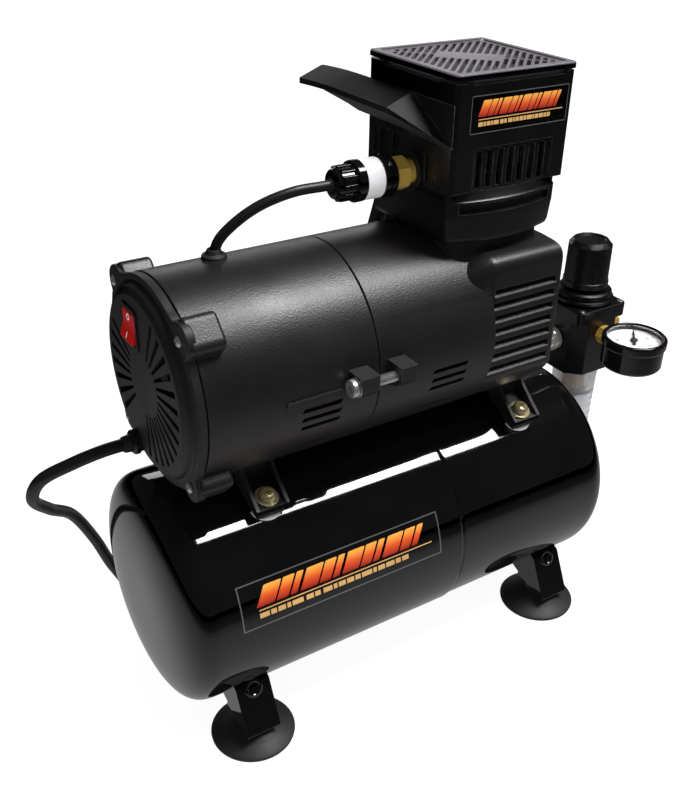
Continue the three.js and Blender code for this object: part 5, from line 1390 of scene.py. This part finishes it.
def by_ray(tree, kind, yes, no):
    """A value that depends on the kind of ray that asks for it."""
    asked = add_node(tree, "LightPath").outputs[kind]
    return add_node(tree, "Mix", {"Factor": asked, "A": no, "B": yes}, data_type="FLOAT").outputs["Result"]


def studio_floor():
    """White paper that reflections see as grey near the machine and black far from it."""
    finish = material("studio_floor", (0.80, 0.80, 0.80), 0.7, grain=(60, 0.02), mottle=0.01)
    tree = finish.node_tree
    where = add_node(tree, "NewGeometry").outputs["Position"]
    oval = add_node(tree, "VectorMath", {0: where, 1: FLOOR_OVAL}, operation="MULTIPLY").outputs["Vector"]
    reach = add_node(tree, "VectorMath", {0: oval}, operation="LENGTH").outputs["Value"]
    scaled = add_node(tree, "Math", {0: reach, 1: 0.25}, operation="MULTIPLY").outputs["Value"]
    fade = add_node(tree, "FloatCurve", {"Value": scaled})
    curve = fade.mapping.curves[0]
    curve.points[0].location, curve.points[1].location = FLOOR_FADE[0], FLOOR_FADE[-1]
    for along, up in FLOOR_FADE[1:-1]:
        curve.points.new(along, up)
    fade.mapping.update()
    lit = add_node(tree, "Math", {0: fade.outputs["Value"], 1: FLOOR_IN_GLOSS},
                   operation="MULTIPLY").outputs["Value"]
    glow = add_node(tree, "Emission", {"Strength": by_ray(tree, "Is Glossy Ray", lit, FLOOR_GLOW)})
    share = by_ray(tree, "Is Glossy Ray", 1.0, FLOOR_GLOW_SHARE)
    plain = tree.nodes["Principled BSDF"].outputs["BSDF"]
    paper = add_node(tree, "MixShader", {"Fac": share, 1: plain, 2: glow.outputs["Emission"]})
    tree.links.new(paper.outputs["Shader"], tree.nodes["Material Output"].inputs["Surface"])
    return finish


floor_mesh = bpy.data.meshes.new("studio_floor")
floor_mesh.from_pydata([(-9, -9, 0), (9, -9, 0), (9, 9, 0), (-9, 9, 0)], [], [(0, 1, 2, 3)])
floor = bpy.data.objects.new("studio_floor", floor_mesh)
floor_mesh.materials.append(studio_floor())
bpy.context.scene.collection.objects.link(floor)


def area_light(name, direction, distance, width, tall, watts):
    """A soft light whose long side lies along the machine."""
    data = bpy.data.lights.new(name, "AREA")
    data.energy = watts
    data.shape = "RECTANGLE"
    data.size = width
    data.size_y = tall
    lamp = bpy.data.objects.new(name, data)
    bpy.context.scene.collection.objects.link(lamp)
    away = Vector(direction).normalized()
    along = (Vector((1, 0, 0)) - away * away.x).normalized()
    turn = Matrix((along, away.cross(along), away)).transposed().to_4x4()
    lamp.matrix_world = Matrix.Translation(ORIGIN + Vector((0, 0, 0.13)) + away * distance) @ turn


area_light("key_softbox", (0.42, -0.24, 0.875), 3.5, 1.5, 1.0, 82)
area_light("key_strip", (0.43, -0.28, 0.86), 3.3, 1.2, 0.16, 16)
area_light("near_softbox", (0.262, -0.155, 0.953), 1.08, 0.30, 0.24, 4.5)
area_light("rear_softbox", (0.38, 0.90, 0.24), 2.5, 1.8, 0.6, 6)

world = bpy.data.worlds.new("studio")
bpy.context.scene.world = world
world.use_nodes = True
tree = world.node_tree
seen = by_ray(tree, "Is Glossy Ray", SKY_IN_GLOSS, by_ray(tree, "Is Diffuse Ray", SKY_GLOW, 1.0))
tree.links.new(seen, tree.nodes["Background"].inputs["Strength"])
tree.nodes["Background"].inputs["Color"].default_value = (1, 1, 1, 1)

camera_data = bpy.data.cameras.new("camera")
camera_data.sensor_width = 36
camera_data.sensor_fit = "AUTO"
camera_data.lens = 43.585
camera = bpy.data.objects.new("camera", camera_data)
bpy.context.scene.collection.objects.link(camera)
camera.location = ORIGIN + Vector((-248.24, -362.69, 400.11)) * MM
azimuth, elevation, roll = math.radians(-33.12), math.radians(30.16), math.radians(1.24)
forward = Vector((-math.sin(azimuth) * math.cos(elevation), math.cos(azimuth) * math.cos(elevation),
                  -math.sin(elevation)))
camera.rotation_mode = "QUATERNION"
camera.rotation_quaternion = forward.to_track_quat("-Z", "Y") @ Matrix.Rotation(roll, 3, "Z").to_quaternion()
camera_data.clip_start = 0.01
camera_data.clip_end = 50
bpy.context.scene.camera = camera
bpy.context.scene.view_settings.view_transform = "Standard"
